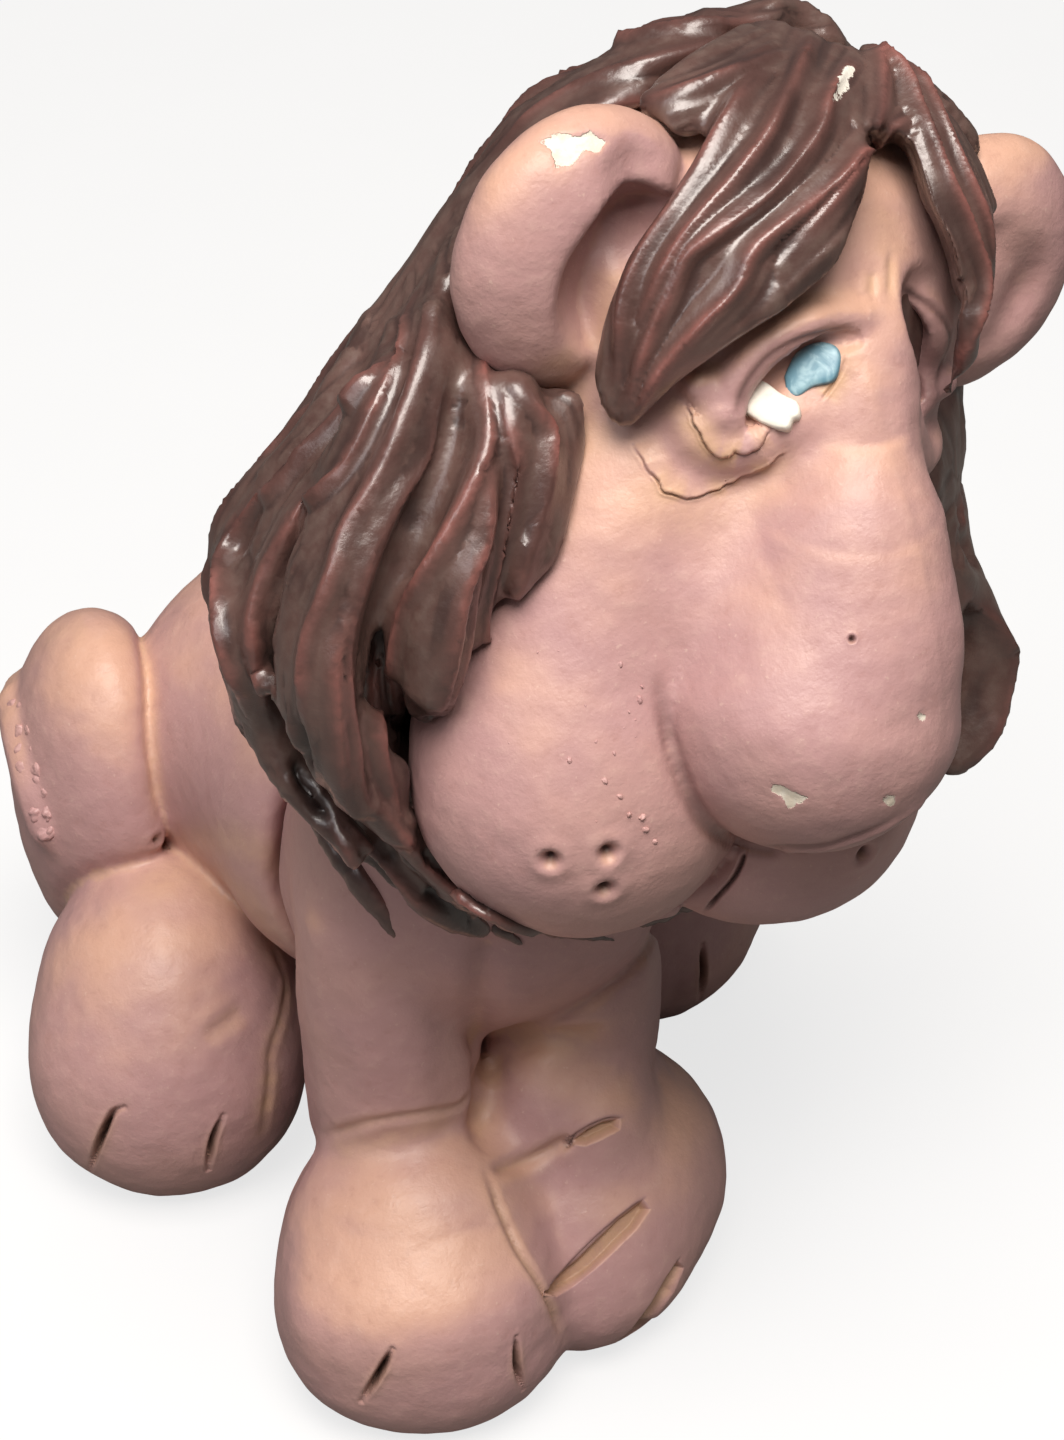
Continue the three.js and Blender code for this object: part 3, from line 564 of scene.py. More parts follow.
class Clay:
    """Clay as a field of depths, negative inside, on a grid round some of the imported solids.

    The reach is how far from its surface the depth of a block of clay is known.
    """

    def __init__(self, nodes, grain, reach=CLAY_REACH):
        boxes = [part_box(node) for node in nodes]
        low = np.min([np.array(box[0]) for box in boxes], axis=0) / MM - CLAY_MARGIN
        high = np.max([np.array(box[1]) for box in boxes], axis=0) / MM + CLAY_MARGIN
        self.grain = grain
        self.reach = reach
        self.first = np.floor(low / grain).astype(int)
        self.depth = np.full(np.ceil(high / grain).astype(int) - self.first + 1, reach, np.float32)

    def block(self, node, softness, closing):
        """One solid's depths, with its facets softened and grooves narrower than the closing filled."""
        points, triangles = solid_of(node)
        scale = vdb.createLinearTransform(self.grain)
        settings = {"transform": scale, "halfWidth": self.reach / self.grain}
        grid = vdb.FloatGrid.createLevelSetFromPolygons(points, triangles=triangles, **settings)
        if closing:
            swollen, quads = grid.convertToQuads(closing)
            grid = vdb.FloatGrid.createLevelSetFromPolygons(swollen, quads=quads, **settings)
        low, high = grid.evalActiveVoxelBoundingBox()
        depth = np.empty([b - a + 1 for a, b in zip(low, high)], np.float32)
        grid.copyToArray(depth, ijk=low)
        return np.array(low), softened(depth + closing, softness / self.grain)

    def window(self, low, shape):
        """The part of the grid that a block covers, and that part of the block."""
        start = np.maximum(low - self.first, 0)
        stop = np.minimum(low + shape - self.first, self.depth.shape)
        mine = tuple(slice(a, b) for a, b in zip(start, stop))
        theirs = tuple(slice(a, b) for a, b in zip(start + self.first - low, stop + self.first - low))
        return mine, theirs

    def places(self, window):
        """The grid's points in a window, in millimetres."""
        axes = [(np.arange(s.start, s.stop) + f) * self.grain for s, f in zip(window, self.first)]
        return np.stack(np.meshgrid(*axes, indexing="ij"), -1).astype(np.float32)

    def add(self, node, softness, blend, closing=0.0, sunk=0.0):
        """Works a solid into the clay, sunk below its own surface.

        The blend is a width, or a function that gives one for each place.
        """
        low, depth = self.block(node, softness, closing)
        depth = depth + np.float32(sunk)
        mine, theirs = self.window(low, depth.shape)
        width = blend(self.places(mine)) if callable(blend) else blend
        self.depth[mine] = joined(self.depth[mine], depth[theirs], width)

    def roll(self, line, radius):
        """A roll along a line: the window round it and its depths there."""
        line = np.asarray(line, float)
        radius = np.broadcast_to(radius, len(line))
        margin = radius.max() + ROLL_MARGIN
        low = np.floor((line.min(0) - margin) / self.grain).astype(int)
        high = np.ceil((line.max(0) + margin) / self.grain).astype(int)
        mine, _ = self.window(low, high - low + 1)
        spots = self.places(mine)
        depth = np.full(spots.shape[:3], self.reach, np.float32)
        for spot, size in zip(line, radius):
            box = tuple(
                slice(
                    max(int((s - margin) / self.grain) - self.first[k] - mine[k].start, 0),
                    max(int((s + margin) / self.grain) - self.first[k] - mine[k].start + 1, 0),
                )
                for k, s in enumerate(spot)
            )
            near = np.linalg.norm(spots[box] - spot.astype(np.float32), axis=-1) - size
            depth[box] = np.minimum(depth[box], near)
        return mine, depth

    def lay(self, line, radius, blend):
        """Lays a roll of clay on."""
        if len(line):
            mine, depth = self.roll(line, radius)
            self.depth[mine] = joined(self.depth[mine], depth, blend)

    def cut(self, line, radius, blend):
        """Presses a round tool in along a line."""
        if len(line):
            mine, depth = self.roll(line, radius)
            self.depth[mine] = -joined(-self.depth[mine], depth, blend)

    def depth_at(self, points):
        """Depth at any points, between the grid's own."""
        at = points / self.grain - self.first
        limit = np.array(self.depth.shape) - 2
        base = np.clip(np.floor(at).astype(int), 0, limit)
        part = np.clip(at - base, 0, 1)
        total = np.zeros(len(points))
        for corner in np.ndindex(2, 2, 2):
            weight = np.prod(np.where(corner, part, 1 - part), axis=1)
            i, j, k = (base + corner).T
            total += weight * self.depth[i, j, k]
        return total

    def outward(self, points):
        """Direction out of the clay at points."""
        steps = self.grain * np.eye(3)
        slope = np.stack([self.depth_at(points + step) - self.depth_at(points - step) for step in steps], 1)
        return slope / np.maximum(np.linalg.norm(slope, axis=1, keepdims=True), 1e-9)

    def raised(self, line, out):
        """The line moved out of the clay, or into it where that is negative."""
        return line + np.asarray(out)[..., None] * self.outward(line)

    def work(self, pixels, out, radius, blend):
        """Lays a roll under a seen line, or cuts with it where its axis stands out of the skin."""
        tool = self.cut if out > 0 else self.lay
        tool(self.raised(self.seen(pixels), out), radius, blend)

    def shot(self, start, towards):
        """First points where rays meet the clay, and which of the rays do."""
        low = self.first * self.grain
        high = (self.first + np.array(self.depth.shape) - 1) * self.grain
        with np.errstate(divide="ignore"):
            a, b = (low - start) / towards, (high - start) / towards
        enter = np.maximum(np.minimum(a, b).max(1), 0)
        leave = np.maximum(a, b).min(1)
        at = enter.copy()
        met = np.zeros(len(at), bool)
        for _ in range(MOST_STRIDES):
            depth = self.depth_at(start + towards * at[:, None])
            met |= (depth < TOUCH) & (at < leave)
            if np.all(met | (at > leave)):
                break
            at = np.where(met, at, at + np.maximum(depth * STRIDE, LEAST_STRIDE))
        return start + towards * at[:, None], met

    def seen(self, pixels, step=3.0):
        """The line on the clay that the camera sees along a line of pixels."""
        traced = smooth_line(pixels, step) if len(pixels) > 1 else np.asarray(pixels, float)
        points, met = self.shot(*rays(traced))
        return points[met]

    def bridged(self, pixels, step=3.0):
        """The seen line, carried across open air where the clay is missed."""
        traced = smooth_line(pixels, step)
        eye, towards = rays(traced)
        points, met = self.shot(eye, towards)
        number = np.arange(len(traced))
        away = np.interp(number, number[met], np.linalg.norm(points - eye, axis=1)[met])
        window = np.full(2 * BRIDGE_EASE + 1, 1 / (2 * BRIDGE_EASE + 1))
        away = np.convolve(np.pad(away, BRIDGE_EASE, mode="edge"), window, mode="valid")
        return eye + towards * away[:, None]

    def skin(self):
        """The surface as points and four-sided faces, without hollows shut up inside."""
        grid = vdb.FloatGrid(self.reach)
        grid.copyFromArray(np.ascontiguousarray(self.depth), ijk=tuple(int(i) for i in self.first))
        grid.transform = vdb.createLinearTransform(self.grain)
        points, quads = grid.convertToQuads(0.0)
        return outer_shells(points.astype(float), quads.astype(np.int64))


def softened(depth, spread):
    """Depths averaged with their neighbours over a spread of grid steps."""
    if spread < 0.3:
        return depth
    span = int(math.ceil(spread * 2.6))
    weights = np.exp(-0.5 * (np.arange(-span, span + 1) / spread) ** 2)
    weights /= weights.sum()
    for axis in range(3):
        pad = [(span, span) if k == axis else (0, 0) for k in range(3)]
        wide = np.pad(depth, pad, mode="edge")
        depth = np.zeros_like(depth)
        for k, weight in enumerate(weights):
            window = tuple(slice(k, k + depth.shape[a]) if a == axis else slice(None) for a in range(3))
            depth += np.float32(weight) * wide[window]
    return depth


def outer_shells(points, quads):
    """Keeps the shells that enclose clay, and drops hollows, and specks of a few cubic millimetres."""
    label = np.arange(len(points))
    pairs = np.concatenate([quads[:, [0, 1]], quads[:, [1, 2]], quads[:, [2, 3]]])
    while True:
        lower = np.minimum(label[pairs[:, 0]], label[pairs[:, 1]])
        fresh = label.copy()
        np.minimum.at(fresh, pairs[:, 0], lower)
        np.minimum.at(fresh, pairs[:, 1], lower)
        fresh = fresh[fresh]
        if np.array_equal(fresh, label):
            break
        label = fresh
    a, b, c, d = (points[quads[:, k]] for k in range(4))
    volume = np.einsum("ij,ij->i", a, np.cross(b, c)) + np.einsum("ij,ij->i", a, np.cross(c, d))
    total = np.bincount(label[quads[:, 0]], volume / 6, len(points))
    kept = quads[total[label[quads[:, 0]]] > LEAST_VOLUME]
    used, renumbered = np.unique(kept, return_inverse=True)
    return points[used], renumbered.reshape(kept.shape)


PATCH_EDGE = 3
LEDGE_TAPER = 0.12

# A groove's least share at its ends, the length in millimetres over which a broken one fades, and by how much
LEAST_END = 0.15
FADE_LENGTH, FADE_GAIN, FADE_LIMITS = 1.6, 2.2, (0.1, 1.4)


class Skin:
    """A mesh of the clay's surface while its details are pressed in, in millimetres."""

    def __init__(self, points, faces):
        self.points = points
        self.faces = faces
        self.marks = {}
        self.link()

    def link(self):
        """Notes which points are neighbours."""
        self.corners = np.concatenate([np.asarray(face) for face in self.faces])
        self.sizes = np.array([len(face) for face in self.faces])
        ends = np.cumsum(self.sizes)
        following = np.arange(len(self.corners)) + 1
        following[ends - 1] = ends - self.sizes
        a, b = self.corners.astype(np.int64), self.corners[following].astype(np.int64)
        count = len(self.points)
        edges = np.unique(np.minimum(a, b) * count + np.maximum(a, b))
        self.pairs = np.stack([edges // count, edges % count], 1)
        self.valence = np.bincount(self.pairs.reshape(-1), minlength=len(self.points))
        self.following = following

    def mean_of_neighbours(self, values):
        """Average of each point's neighbours."""
        i, j = self.pairs.T
        count = len(values)
        total = [np.bincount(i, column[j], count) + np.bincount(j, column[i], count) for column in values.T]
        return np.stack(total, 1) / self.valence[:, None]

    def normals(self):
        """Outward direction at each point."""
        a = self.points[self.corners]
        b = self.points[self.corners[self.following]]
        owner = np.repeat(np.arange(len(self.sizes)), self.sizes)
        cross = np.cross(a, b)
        area = np.stack([np.bincount(owner, cross[:, k], len(self.sizes)) for k in range(3)], 1)[owner]
        out = np.stack([np.bincount(self.corners, area[:, k], len(self.points)) for k in range(3)], 1)
        return out / np.maximum(np.linalg.norm(out, axis=1, keepdims=True), 1e-12)

    def smooth(self, rounds, where=1.0):
        """Rubs the surface down."""
        share = np.broadcast_to(where, len(self.points))[:, None]
        for _ in range(rounds):
            self.points = self.points + 0.5 * share * (self.mean_of_neighbours(self.points) - self.points)

    def mark(self, name):
        """A painted value kept at each point."""
        return self.marks.setdefault(name, np.zeros(len(self.points)))

    def near(self, line, limit):
        """Points near a line: their numbers, distances and places along it."""
        if not len(line):
            return np.empty(0, int), np.empty(0), np.empty(0)
        inside = np.all((self.points > line.min(0) - limit) & (self.points < line.max(0) + limit), axis=1)
        number = np.flatnonzero(inside)
        if not len(number):
            return number, np.empty(0), np.empty(0)
        gaps = np.linalg.norm(self.points[number, None] - line[None], axis=2)
        closest = gaps.argmin(1)
        distance = gaps.min(1)
        close = distance < limit
        return number[close], distance[close], closest[close] / max(len(line) - 1, 1)

    def refine(self, lines, limit):
        """Makes the mesh twice as fine near some lines."""
        chosen = np.zeros(len(self.points), bool)
        for line in lines:
            chosen[self.near(line, limit)[0]] = True
        mesh = bpy.data.meshes.new("refining")
        fill_mesh(mesh, self.points, self.corners, self.sizes)
        for name, values in self.marks.items():
            set_mark(mesh, name, values)
        work = bmesh.new()
        work.from_mesh(mesh)
        work.verts.ensure_lookup_table()
        edges = [edge for edge in work.edges if all(chosen[v.index] for v in edge.verts)]
        bmesh.ops.subdivide_edges(work, edges=edges, cuts=1, use_grid_fill=True)
        work.to_mesh(mesh)
        work.free()
        places = np.empty(len(mesh.vertices) * 3)
        mesh.vertices.foreach_get("co", places)
        corners = np.empty(len(mesh.loops), np.int32)
        mesh.loops.foreach_get("vertex_index", corners)
        sizes = np.empty(len(mesh.polygons), np.int32)
        mesh.polygons.foreach_get("loop_total", sizes)
        for name in self.marks:
            values = np.empty(len(mesh.vertices), np.float32)
            mesh.attributes[name].data.foreach_get("value", values)
            self.marks[name] = values.astype(float)
        bpy.data.meshes.remove(mesh)
        self.points = places.reshape(-1, 3)
        self.faces = np.split(corners, np.cumsum(sizes)[:-1])
        self.link()

    def press(self, line, groove):
        """Presses a groove along a line, whole or broken into fainter stretches, and paints it."""
        width = groove.width
        reach = max([width * 4] + [width * spread * 2 for _, spread in groove.marks.values()])
        number, distance, along = self.near(line, reach)
        if not len(number):
            return
        end = 1.0
        if groove.taper and len(line) > 1:
            end = np.clip(np.minimum(along, 1 - along) / groove.taper, LEAST_END, 1)
        if groove.broken:
            fade = np.array([noise.noise(Vector(spot / FADE_LENGTH)) for spot in line])
            nearest = np.round(along * (len(line) - 1)).astype(int)
            end = end * np.clip(1 + groove.broken * FADE_GAIN * fade, *FADE_LIMITS)[nearest]
        hollow = np.exp(-((distance / width) ** 2)) * end
        edge = np.exp(-(((distance - 2 * width) / width) ** 2)) * end
        shift = groove.lip * edge - groove.depth * hollow
        self.points[number] += self.normals()[number] * shift[:, None]
        for name, (strength, spread) in groove.marks.items():
            painted = np.exp(-((distance / (width * spread)) ** 2)) * end * strength
            self.mark(name)[number] = np.maximum(self.mark(name)[number], painted)

    def ledge(self, line, height, edge, reach):
        """Raises the clay on one side of a line, falling off with distance."""
        number, distance, along = self.near(line, reach * 2)
        if not len(number):
            return
        nearest = np.round(along * (len(line) - 1)).astype(int)
        normals = self.normals()[number]
        sideways = np.cross(normals, np.gradient(line, axis=0)[nearest])
        sideways /= np.maximum(np.linalg.norm(sideways, axis=1, keepdims=True), 1e-9)
        signed = np.einsum("ij,ij->i", self.points[number] - line[nearest], sideways)
        end = np.clip(np.minimum(along, 1 - along) / LEDGE_TAPER, 0, 1)
        raised = height * ease(-edge, edge, signed) * np.exp(-((distance / reach) ** 2)) * end
        self.points[number] += normals * raised[:, None]

    def patch(self, name, outline, clay, depth=0.0):
        """Paints and sinks a patch inside a pixel outline; the mark is 3 at its edge, and more inside it."""
        outline = np.asarray(outline, float)
        middle = clay.seen([outline.mean(0)])
        if not len(middle):
            return
        reach = 0.5 * np.ptp(outline, axis=0).max() / PIXELS_PER_MM + 4
        number = np.flatnonzero(np.linalg.norm(self.points - middle[0], axis=1) < reach)
        spots = pixels_of(self.points[number])
        inside = np.zeros(len(number), bool)
        edge = np.full(len(number), np.inf)
        for a, b in zip(outline, np.roll(outline, -1, axis=0)):
            crosses = (a[1] > spots[:, 1]) != (b[1] > spots[:, 1])
            with np.errstate(divide="ignore", invalid="ignore"):
                at = a[0] + (spots[:, 1] - a[1]) / (b[1] - a[1]) * (b[0] - a[0])
            inside ^= crosses & (spots[:, 0] < at)
            along = np.clip(((spots - a) @ (b - a)) / ((b - a) @ (b - a)), 0, 1)[:, None]
            edge = np.minimum(edge, np.linalg.norm(spots - a - along * (b - a), axis=1))
        inwards = np.where(inside, edge, -edge) / PIXELS_PER_MM
        facing = self.normals()[number] @ viewpoint()[3] > 0
        value = np.where(facing, np.clip(inwards, -PATCH_EDGE, PATCH_EDGE), -PATCH_EDGE)
        mark = self.mark(name)
        mark[number] = np.maximum(mark[number], value + PATCH_EDGE)
        self.points[number] -= self.normals()[number] * (depth * ease(-0.2, 0.4, value))[:, None]

    def roughen(self, height, size, seed):
        """Uneven finger marks."""
        shift = np.array([noise.noise(Vector(p / size) + Vector((seed, 0, 0))) for p in self.points])
        self.points += self.normals() * (height * shift)[:, None]

    def hollows(self, rounds):
        """How far each point lies below its surroundings, in millimetres."""
        level = self.points
        for _ in range(rounds):
            level = 0.5 * level + 0.5 * self.mean_of_neighbours(level)
        return np.einsum("ij,ij->i", level - self.points, self.normals())

    def piece(self, name, material, nodes, slot):
        """The finished Blender object, on the root body, in place of its solids."""
        mesh = bpy.data.meshes.new(name)
        self.points[:, 2] = np.maximum(self.points[:, 2], 0)
        fill_mesh(mesh, self.points * MM, self.corners, self.sizes)
        for mark, values in self.marks.items():
            set_mark(mesh, mark, values)
        mesh.materials.append(material)
        return settled(thinned(mesh), name, nodes)


def thinned(mesh):
    """The mesh, coarser in its flat places where it has too many triangles."""
    mesh.calc_loop_triangles()
    count = len(mesh.loop_triangles)
    if count <= MOST_TRIANGLES:
        return mesh
    holder = bpy.data.objects.new("thinning", mesh)
    bpy.context.scene.collection.objects.link(holder)
    thinner = holder.modifiers.new("thinning", "DECIMATE")
    thinner.ratio = MOST_TRIANGLES / count
    bpy.context.view_layer.update()
    coarser = bpy.data.meshes.new_from_object(holder.evaluated_get(bpy.context.evaluated_depsgraph_get()))
    bpy.data.objects.remove(holder)
    bpy.data.meshes.remove(mesh)
    coarser.shade_smooth()
    return coarser


def fill_mesh(mesh, points, corners, sizes):
    """Puts points and faces into an empty mesh."""
    mesh.vertices.add(len(points))
    mesh.vertices.foreach_set("co", np.ascontiguousarray(points, np.float32).reshape(-1))
    mesh.loops.add(len(corners))
    mesh.loops.foreach_set("vertex_index", np.asarray(corners, np.int32))
    mesh.polygons.add(len(sizes))
    starts = np.cumsum(sizes) - sizes
    mesh.polygons.foreach_set("loop_start", starts.astype(np.int32))
    mesh.update(calc_edges=True)
    mesh.validate()
    mesh.shade_smooth()


def set_mark(mesh, name, values):
    """Keeps a value at each point of a mesh."""
    mesh.attributes.new(name, "FLOAT", "POINT").data.foreach_set("value", values.astype(np.float32))


def settled(mesh, name, nodes):
    """An object that rides on the root body and stands for its solids."""
    piece = bpy.data.objects.new(name, mesh)
    bpy.context.scene.collection.objects.link(piece)
    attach(piece, "root")
    if nodes:
        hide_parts(*nodes)
    return piece


# Where the mark of a chip turns from paint to bare clay
CHIP_EDGE = (2.95, 3.15)

# Colours that the paint takes on in small spots
PALE_FLECK, DARK_FLECK, PALE_SPECK = (0.72, 0.5, 0.42), (0.33, 0.15, 0.12), (0.75, 0.56, 0.46)
STAINED_CLAY, OLD_CLAY = (0.7, 0.62, 0.5), (0.62, 0.5, 0.38)
BROWN, BROWN_STREAK = (0.12, 0.062, 0.052), (0.035, 0.018, 0.016)
# A painted grey sheen for the mane's furrows, and near black for painted shade in its hollows and gaps
PAINTED_SHEEN, BLACK = (0.19, 0.14, 0.115), (0.010, 0.005, 0.005)
# Pale blue brush strokes, and a darker blue for painted shade at the iris rim
PALE_BLUE, DARK_BLUE = (0.32, 0.50, 0.56), (0.08, 0.13, 0.16)


class Paint:
    """A material's node tree while it is put together."""

    def __init__(self, name):
        self.material = bpy.data.materials.get(name) or bpy.data.materials.new(name)
        self.material.use_nodes = True
        self.tree = self.material.node_tree
        self.tree.nodes.clear()
        self.shader = self.node("ShaderNodeBsdfPrincipled")
        output = self.node("ShaderNodeOutputMaterial")
        self.join(self.shader.outputs[0], output.inputs["Surface"])
        self.place = self.node("ShaderNodeTexCoord").outputs["Object"]

    def node(self, kind, **settings):
        made = self.tree.nodes.new(kind)
        for key, value in settings.items():
            setattr(made, key, value)
        return made

    def join(self, source, target):
        self.tree.links.new(source, target)

    def feed(self, socket, value):
        """Sets a socket, or links it where the value is another node's output."""
        if isinstance(value, bpy.types.NodeSocket):
            self.join(value, socket)
        elif hasattr(value, "__len__") and len(value) == 3 and socket.type == "RGBA":
            socket.default_value = (*value, 1.0)
        else:
            socket.default_value = value

    def noise(self, size, detail=3.0, roughness=0.55, distortion=0.0):
        """Cloudy pattern whose patches are about that many millimetres across."""
        made = self.node("ShaderNodeTexNoise")
        self.join(self.place, made.inputs["Vector"])
        made.inputs["Scale"].default_value = 1 / (size * MM)
        made.inputs["Detail"].default_value = detail
        made.inputs["Roughness"].default_value = roughness
        made.inputs["Distortion"].default_value = distortion
        return made.outputs["Fac"]

    def mark(self, name):
        return self.node("ShaderNodeAttribute", attribute_name=name).outputs["Fac"]

    def span(self, value, low, high, start=0.0, end=1.0):
        """The value's run from low to high, as a run from start to end."""
        made = self.node("ShaderNodeMapRange", interpolation_type="SMOOTHSTEP")
        self.feed(made.inputs["Value"], value)
        for socket, number in (("From Min", low), ("From Max", high), ("To Min", start), ("To Max", end)):
            made.inputs[socket].default_value = number
        return made.outputs["Result"]

    def sum(self, operation, a, b):
        made = self.node("ShaderNodeMath", operation=operation, use_clamp=False)
        self.feed(made.inputs[0], a)
        self.feed(made.inputs[1], b)
        return made.outputs[0]

    def mix(self, share, a, b, mode="MIX"):
        made = self.node("ShaderNodeMix", data_type="RGBA", blend_type=mode)
        sockets = [s for s in made.inputs if s.enabled]
        self.feed(sockets[0], share)
        self.feed(sockets[1], a)
        self.feed(sockets[2], b)
        return next(s for s in made.outputs if s.enabled)

    def chips(self, fleck):
        """Where the paint has chipped away, with an uneven edge."""
        edge = self.sum("ADD", self.mark("chip"), self.span(fleck, 0.2, 0.8, -0.5, 0.5))
        return self.span(edge, *CHIP_EDGE)

    def finish(self, colour, roughness, height=None, strength=1.0, deep=0.1):
        self.feed(self.shader.inputs["Base Color"], colour)
        self.feed(self.shader.inputs["Roughness"], roughness)
        if height is not None:
            bump = self.node("ShaderNodeBump")
            bump.inputs["Strength"].default_value = strength
            bump.inputs["Distance"].default_value = deep * MM
            self.join(height, bump.inputs["Height"])
            self.join(bump.outputs[0], self.shader.inputs["Normal"])
        return self.material


def hide_paint():
    """Dusty pink satin paint: painted warm light on tops and raised places, painted shade in slits and
    creases, ochre in creases, chipped to white clay.
    """
    colours = bpy.context.scene.lion_paint
    paint = Paint("hide_paint")
    cloud = paint.noise(26, 2.0)
    fleck = paint.noise(2.2, 4.0, 0.65)
    speck = paint.noise(0.7, 2.0)
    base = paint.mix(paint.span(cloud, 0.35, 0.7), colours.mauve, colours.hide)
    # Painted warm light on tops and raised places, with warm cloudy patches at random
    warmth_and_painted_light = paint.sum("ADD", paint.mark("painted_warm_light"), paint.span(cloud, 0.3, 0.75, -0.25, 0.25))
    base = paint.mix(paint.span(warmth_and_painted_light, 0.25, 1.0), base, colours.painted_warm_light)
    base = paint.mix(paint.span(fleck, 0.5, 0.75, 0.0, 0.16), base, PALE_FLECK)
    base = paint.mix(paint.span(fleck, 0.48, 0.2, 0.0, 0.22), base, DARK_FLECK)
    base = paint.mix(paint.span(speck, 0.66, 0.78, 0.0, 0.3), base, PALE_SPECK)
    stain = paint.sum("MULTIPLY", paint.mark("wash"), paint.span(fleck, 0.2, 0.6, 0.55, 1.0))
    base = paint.mix(stain, base, colours.wash)
    # Painted shade in slits, pits, creases and under the hood
    base = paint.mix(paint.mark("dark"), base, colours.slit)
    bare = paint.chips(fleck)
    base = paint.mix(bare, base, paint.mix(paint.span(fleck, 0.3, 0.7), colours.clay, STAINED_CLAY))
    gloss = paint.span(fleck, 0.2, 0.8, 0.36, 0.5)
    gloss = paint.sum("ADD", gloss, paint.sum("MULTIPLY", bare, 0.3))
    height = paint.sum("ADD", paint.sum("MULTIPLY", fleck, 1.0), paint.sum("MULTIPLY", speck, 0.25))
    height = paint.sum("SUBTRACT", height, paint.sum("MULTIPLY", bare, 1.2))
    paint.shader.inputs["Specular IOR Level"].default_value = 0.42
    return paint.finish(base, gloss, height, 0.7, 0.22)


def mane_paint():
    """Glossy dark brown, rubbed to reddish pink along the crests, with a painted grey sheen in the furrows
    and painted shade in the hollows.
    """
    colours = bpy.context.scene.lion_paint
    paint = Paint("mane_paint")
    cloud = paint.noise(14, 2.0)
    fleck = paint.noise(2.0, 4.0, 0.6)
    speck = paint.noise(0.6, 2.0)
    base = paint.mix(paint.span(cloud, 0.35, 0.65), colours.mane, BROWN)
    base = paint.mix(paint.span(paint.mark("streak"), 0.5, 0.25, 0.0, 0.6), base, BROWN_STREAK)
    # Painted sheen: a pale grey satin reflection painted into the furrows
    painted_sheen = paint.sum("MULTIPLY", paint.mark("furrow"), paint.span(fleck, 0.3, 0.7, 0.2, 1.0))
    base = paint.mix(paint.sum("MULTIPLY", painted_sheen, 0.42), base, PAINTED_SHEEN)
    rub = paint.sum("MULTIPLY", paint.mark("crest"), paint.span(cloud, 0.35, 0.62, 0.15, 1.0))
    rub = paint.sum("MULTIPLY", rub, paint.span(fleck, 0.25, 0.6, 0.35, 1.0))
    base = paint.mix(rub, base, colours.crest)
    # Painted shade, near black, in the mane's gaps and hollows
    base = paint.mix(paint.mark("dark"), base, BLACK)
    bare = paint.chips(fleck)
    base = paint.mix(bare, base, colours.clay)
    gloss = paint.span(fleck, 0.2, 0.8, 0.28, 0.44)
    gloss = paint.sum("ADD", gloss, paint.sum("MULTIPLY", bare, 0.4))
    height = paint.sum("ADD", fleck, paint.sum("MULTIPLY", speck, 0.3))
    height = paint.sum("SUBTRACT", height, paint.sum("MULTIPLY", bare, 1.0))
    paint.shader.inputs["Specular IOR Level"].default_value = 0.8
    paint.shader.inputs["Coat Weight"].default_value = 0.25
    paint.shader.inputs["Coat Roughness"].default_value = 0.14
    return paint.finish(base, gloss, height, 0.7, 0.14)


def iris_paint():
    """Light blue with paler brush strokes, and painted shade at the rim."""
    colours = bpy.context.scene.lion_paint
    paint = Paint("iris_paint")
    stroke = paint.noise(3.0, 3.0, 0.5, 1.2)
    fleck = paint.noise(0.35, 2.0)
    base = paint.mix(paint.span(stroke, 0.42, 0.62), colours.iris, PALE_BLUE)
    # Painted shade at the rim, where the iris meets the face
    base = paint.mix(paint.mark("dark"), base, DARK_BLUE)
    gloss = paint.span(fleck, 0.3, 0.7, 0.3, 0.45)
    return paint.finish(base, gloss, stroke, 0.5, 0.15)


def white_paint():
    """Bare white clay, a little stained."""
    colours = bpy.context.scene.lion_paint
    paint = Paint("white_clay")
    fleck = paint.noise(1.2, 3.0)
    base = paint.mix(paint.span(fleck, 0.55, 0.8, 0.0, 0.5), colours.clay, OLD_CLAY)
    return paint.finish(base, paint.span(fleck, 0.3, 0.7, 0.45, 0.6), fleck, 0.6, 0.12)


def handled(skin, fine, coarse, size, seeds):
    """Makes the skin finer at lines, then uneven with finger marks of that size and with smaller ones."""
    marks = bpy.context.scene.lion_clay.hand_marks
    skin.refine(fine + coarse, COARSE_EDGE)
    skin.refine(fine, FINE_EDGE)
    skin.roughen(marks / MM, size, seeds[0])
    skin.roughen(0.35 * marks / MM, SMALL_MARKS, seeds[1])


def press_slits(skin, slits):
    """Cuts the slits between the toes."""
    slit = TOE_SLIT._replace(depth=bpy.context.scene.lion_clay.slit_depth / MM)
    for line in slits:
        skin.press(line, slit)


def paint_hide(skin, clay, tans, stain):
    """Marks shared by the hide: ochre in the hollows and on tanned places, painted warm light on what faces
    up and on raised places.
    """
    for width, share, pixels in tans:
        skin.press(clay.seen(pixels), Groove(width, 0.0, {"wash": (share, 1.0)}))
    fine, broad = skin.hollows(FINE_HOLLOWS), skin.hollows(BROAD_HOLLOWS)
    wash = ease(0.05, 0.3, fine) + ease(0.35, 1.3, broad)
    skin.marks["wash"] = np.clip(np.maximum(skin.mark("wash"), stain * np.clip(wash, 0, 1)), 0, 1)
    up = skin.normals()[:, 2]
    # Painted warm light: strongest where the surface faces up, some more where it bulges out
    skin.marks["painted_warm_light"] = np.clip(0.75 * ease(0.1, 0.95, up) + 0.3 * ease(0.0, 0.8, -broad), 0, 1)
    skin.mark("dark")
    skin.mark("chip")


LEFT_EAR_ROOT = [(31, 5, -6), (33, 2, -16), (34, -2, -28)]
LEFT_EAR_DISH = [(29, 0, -4), (29, 0, 1), (30, 0, 6)]
LEFT_EYE_RISE = 3.6
LEFT_EYE_INWARDS = 1.6
LEFT_EAR_CLOSING = 7.0

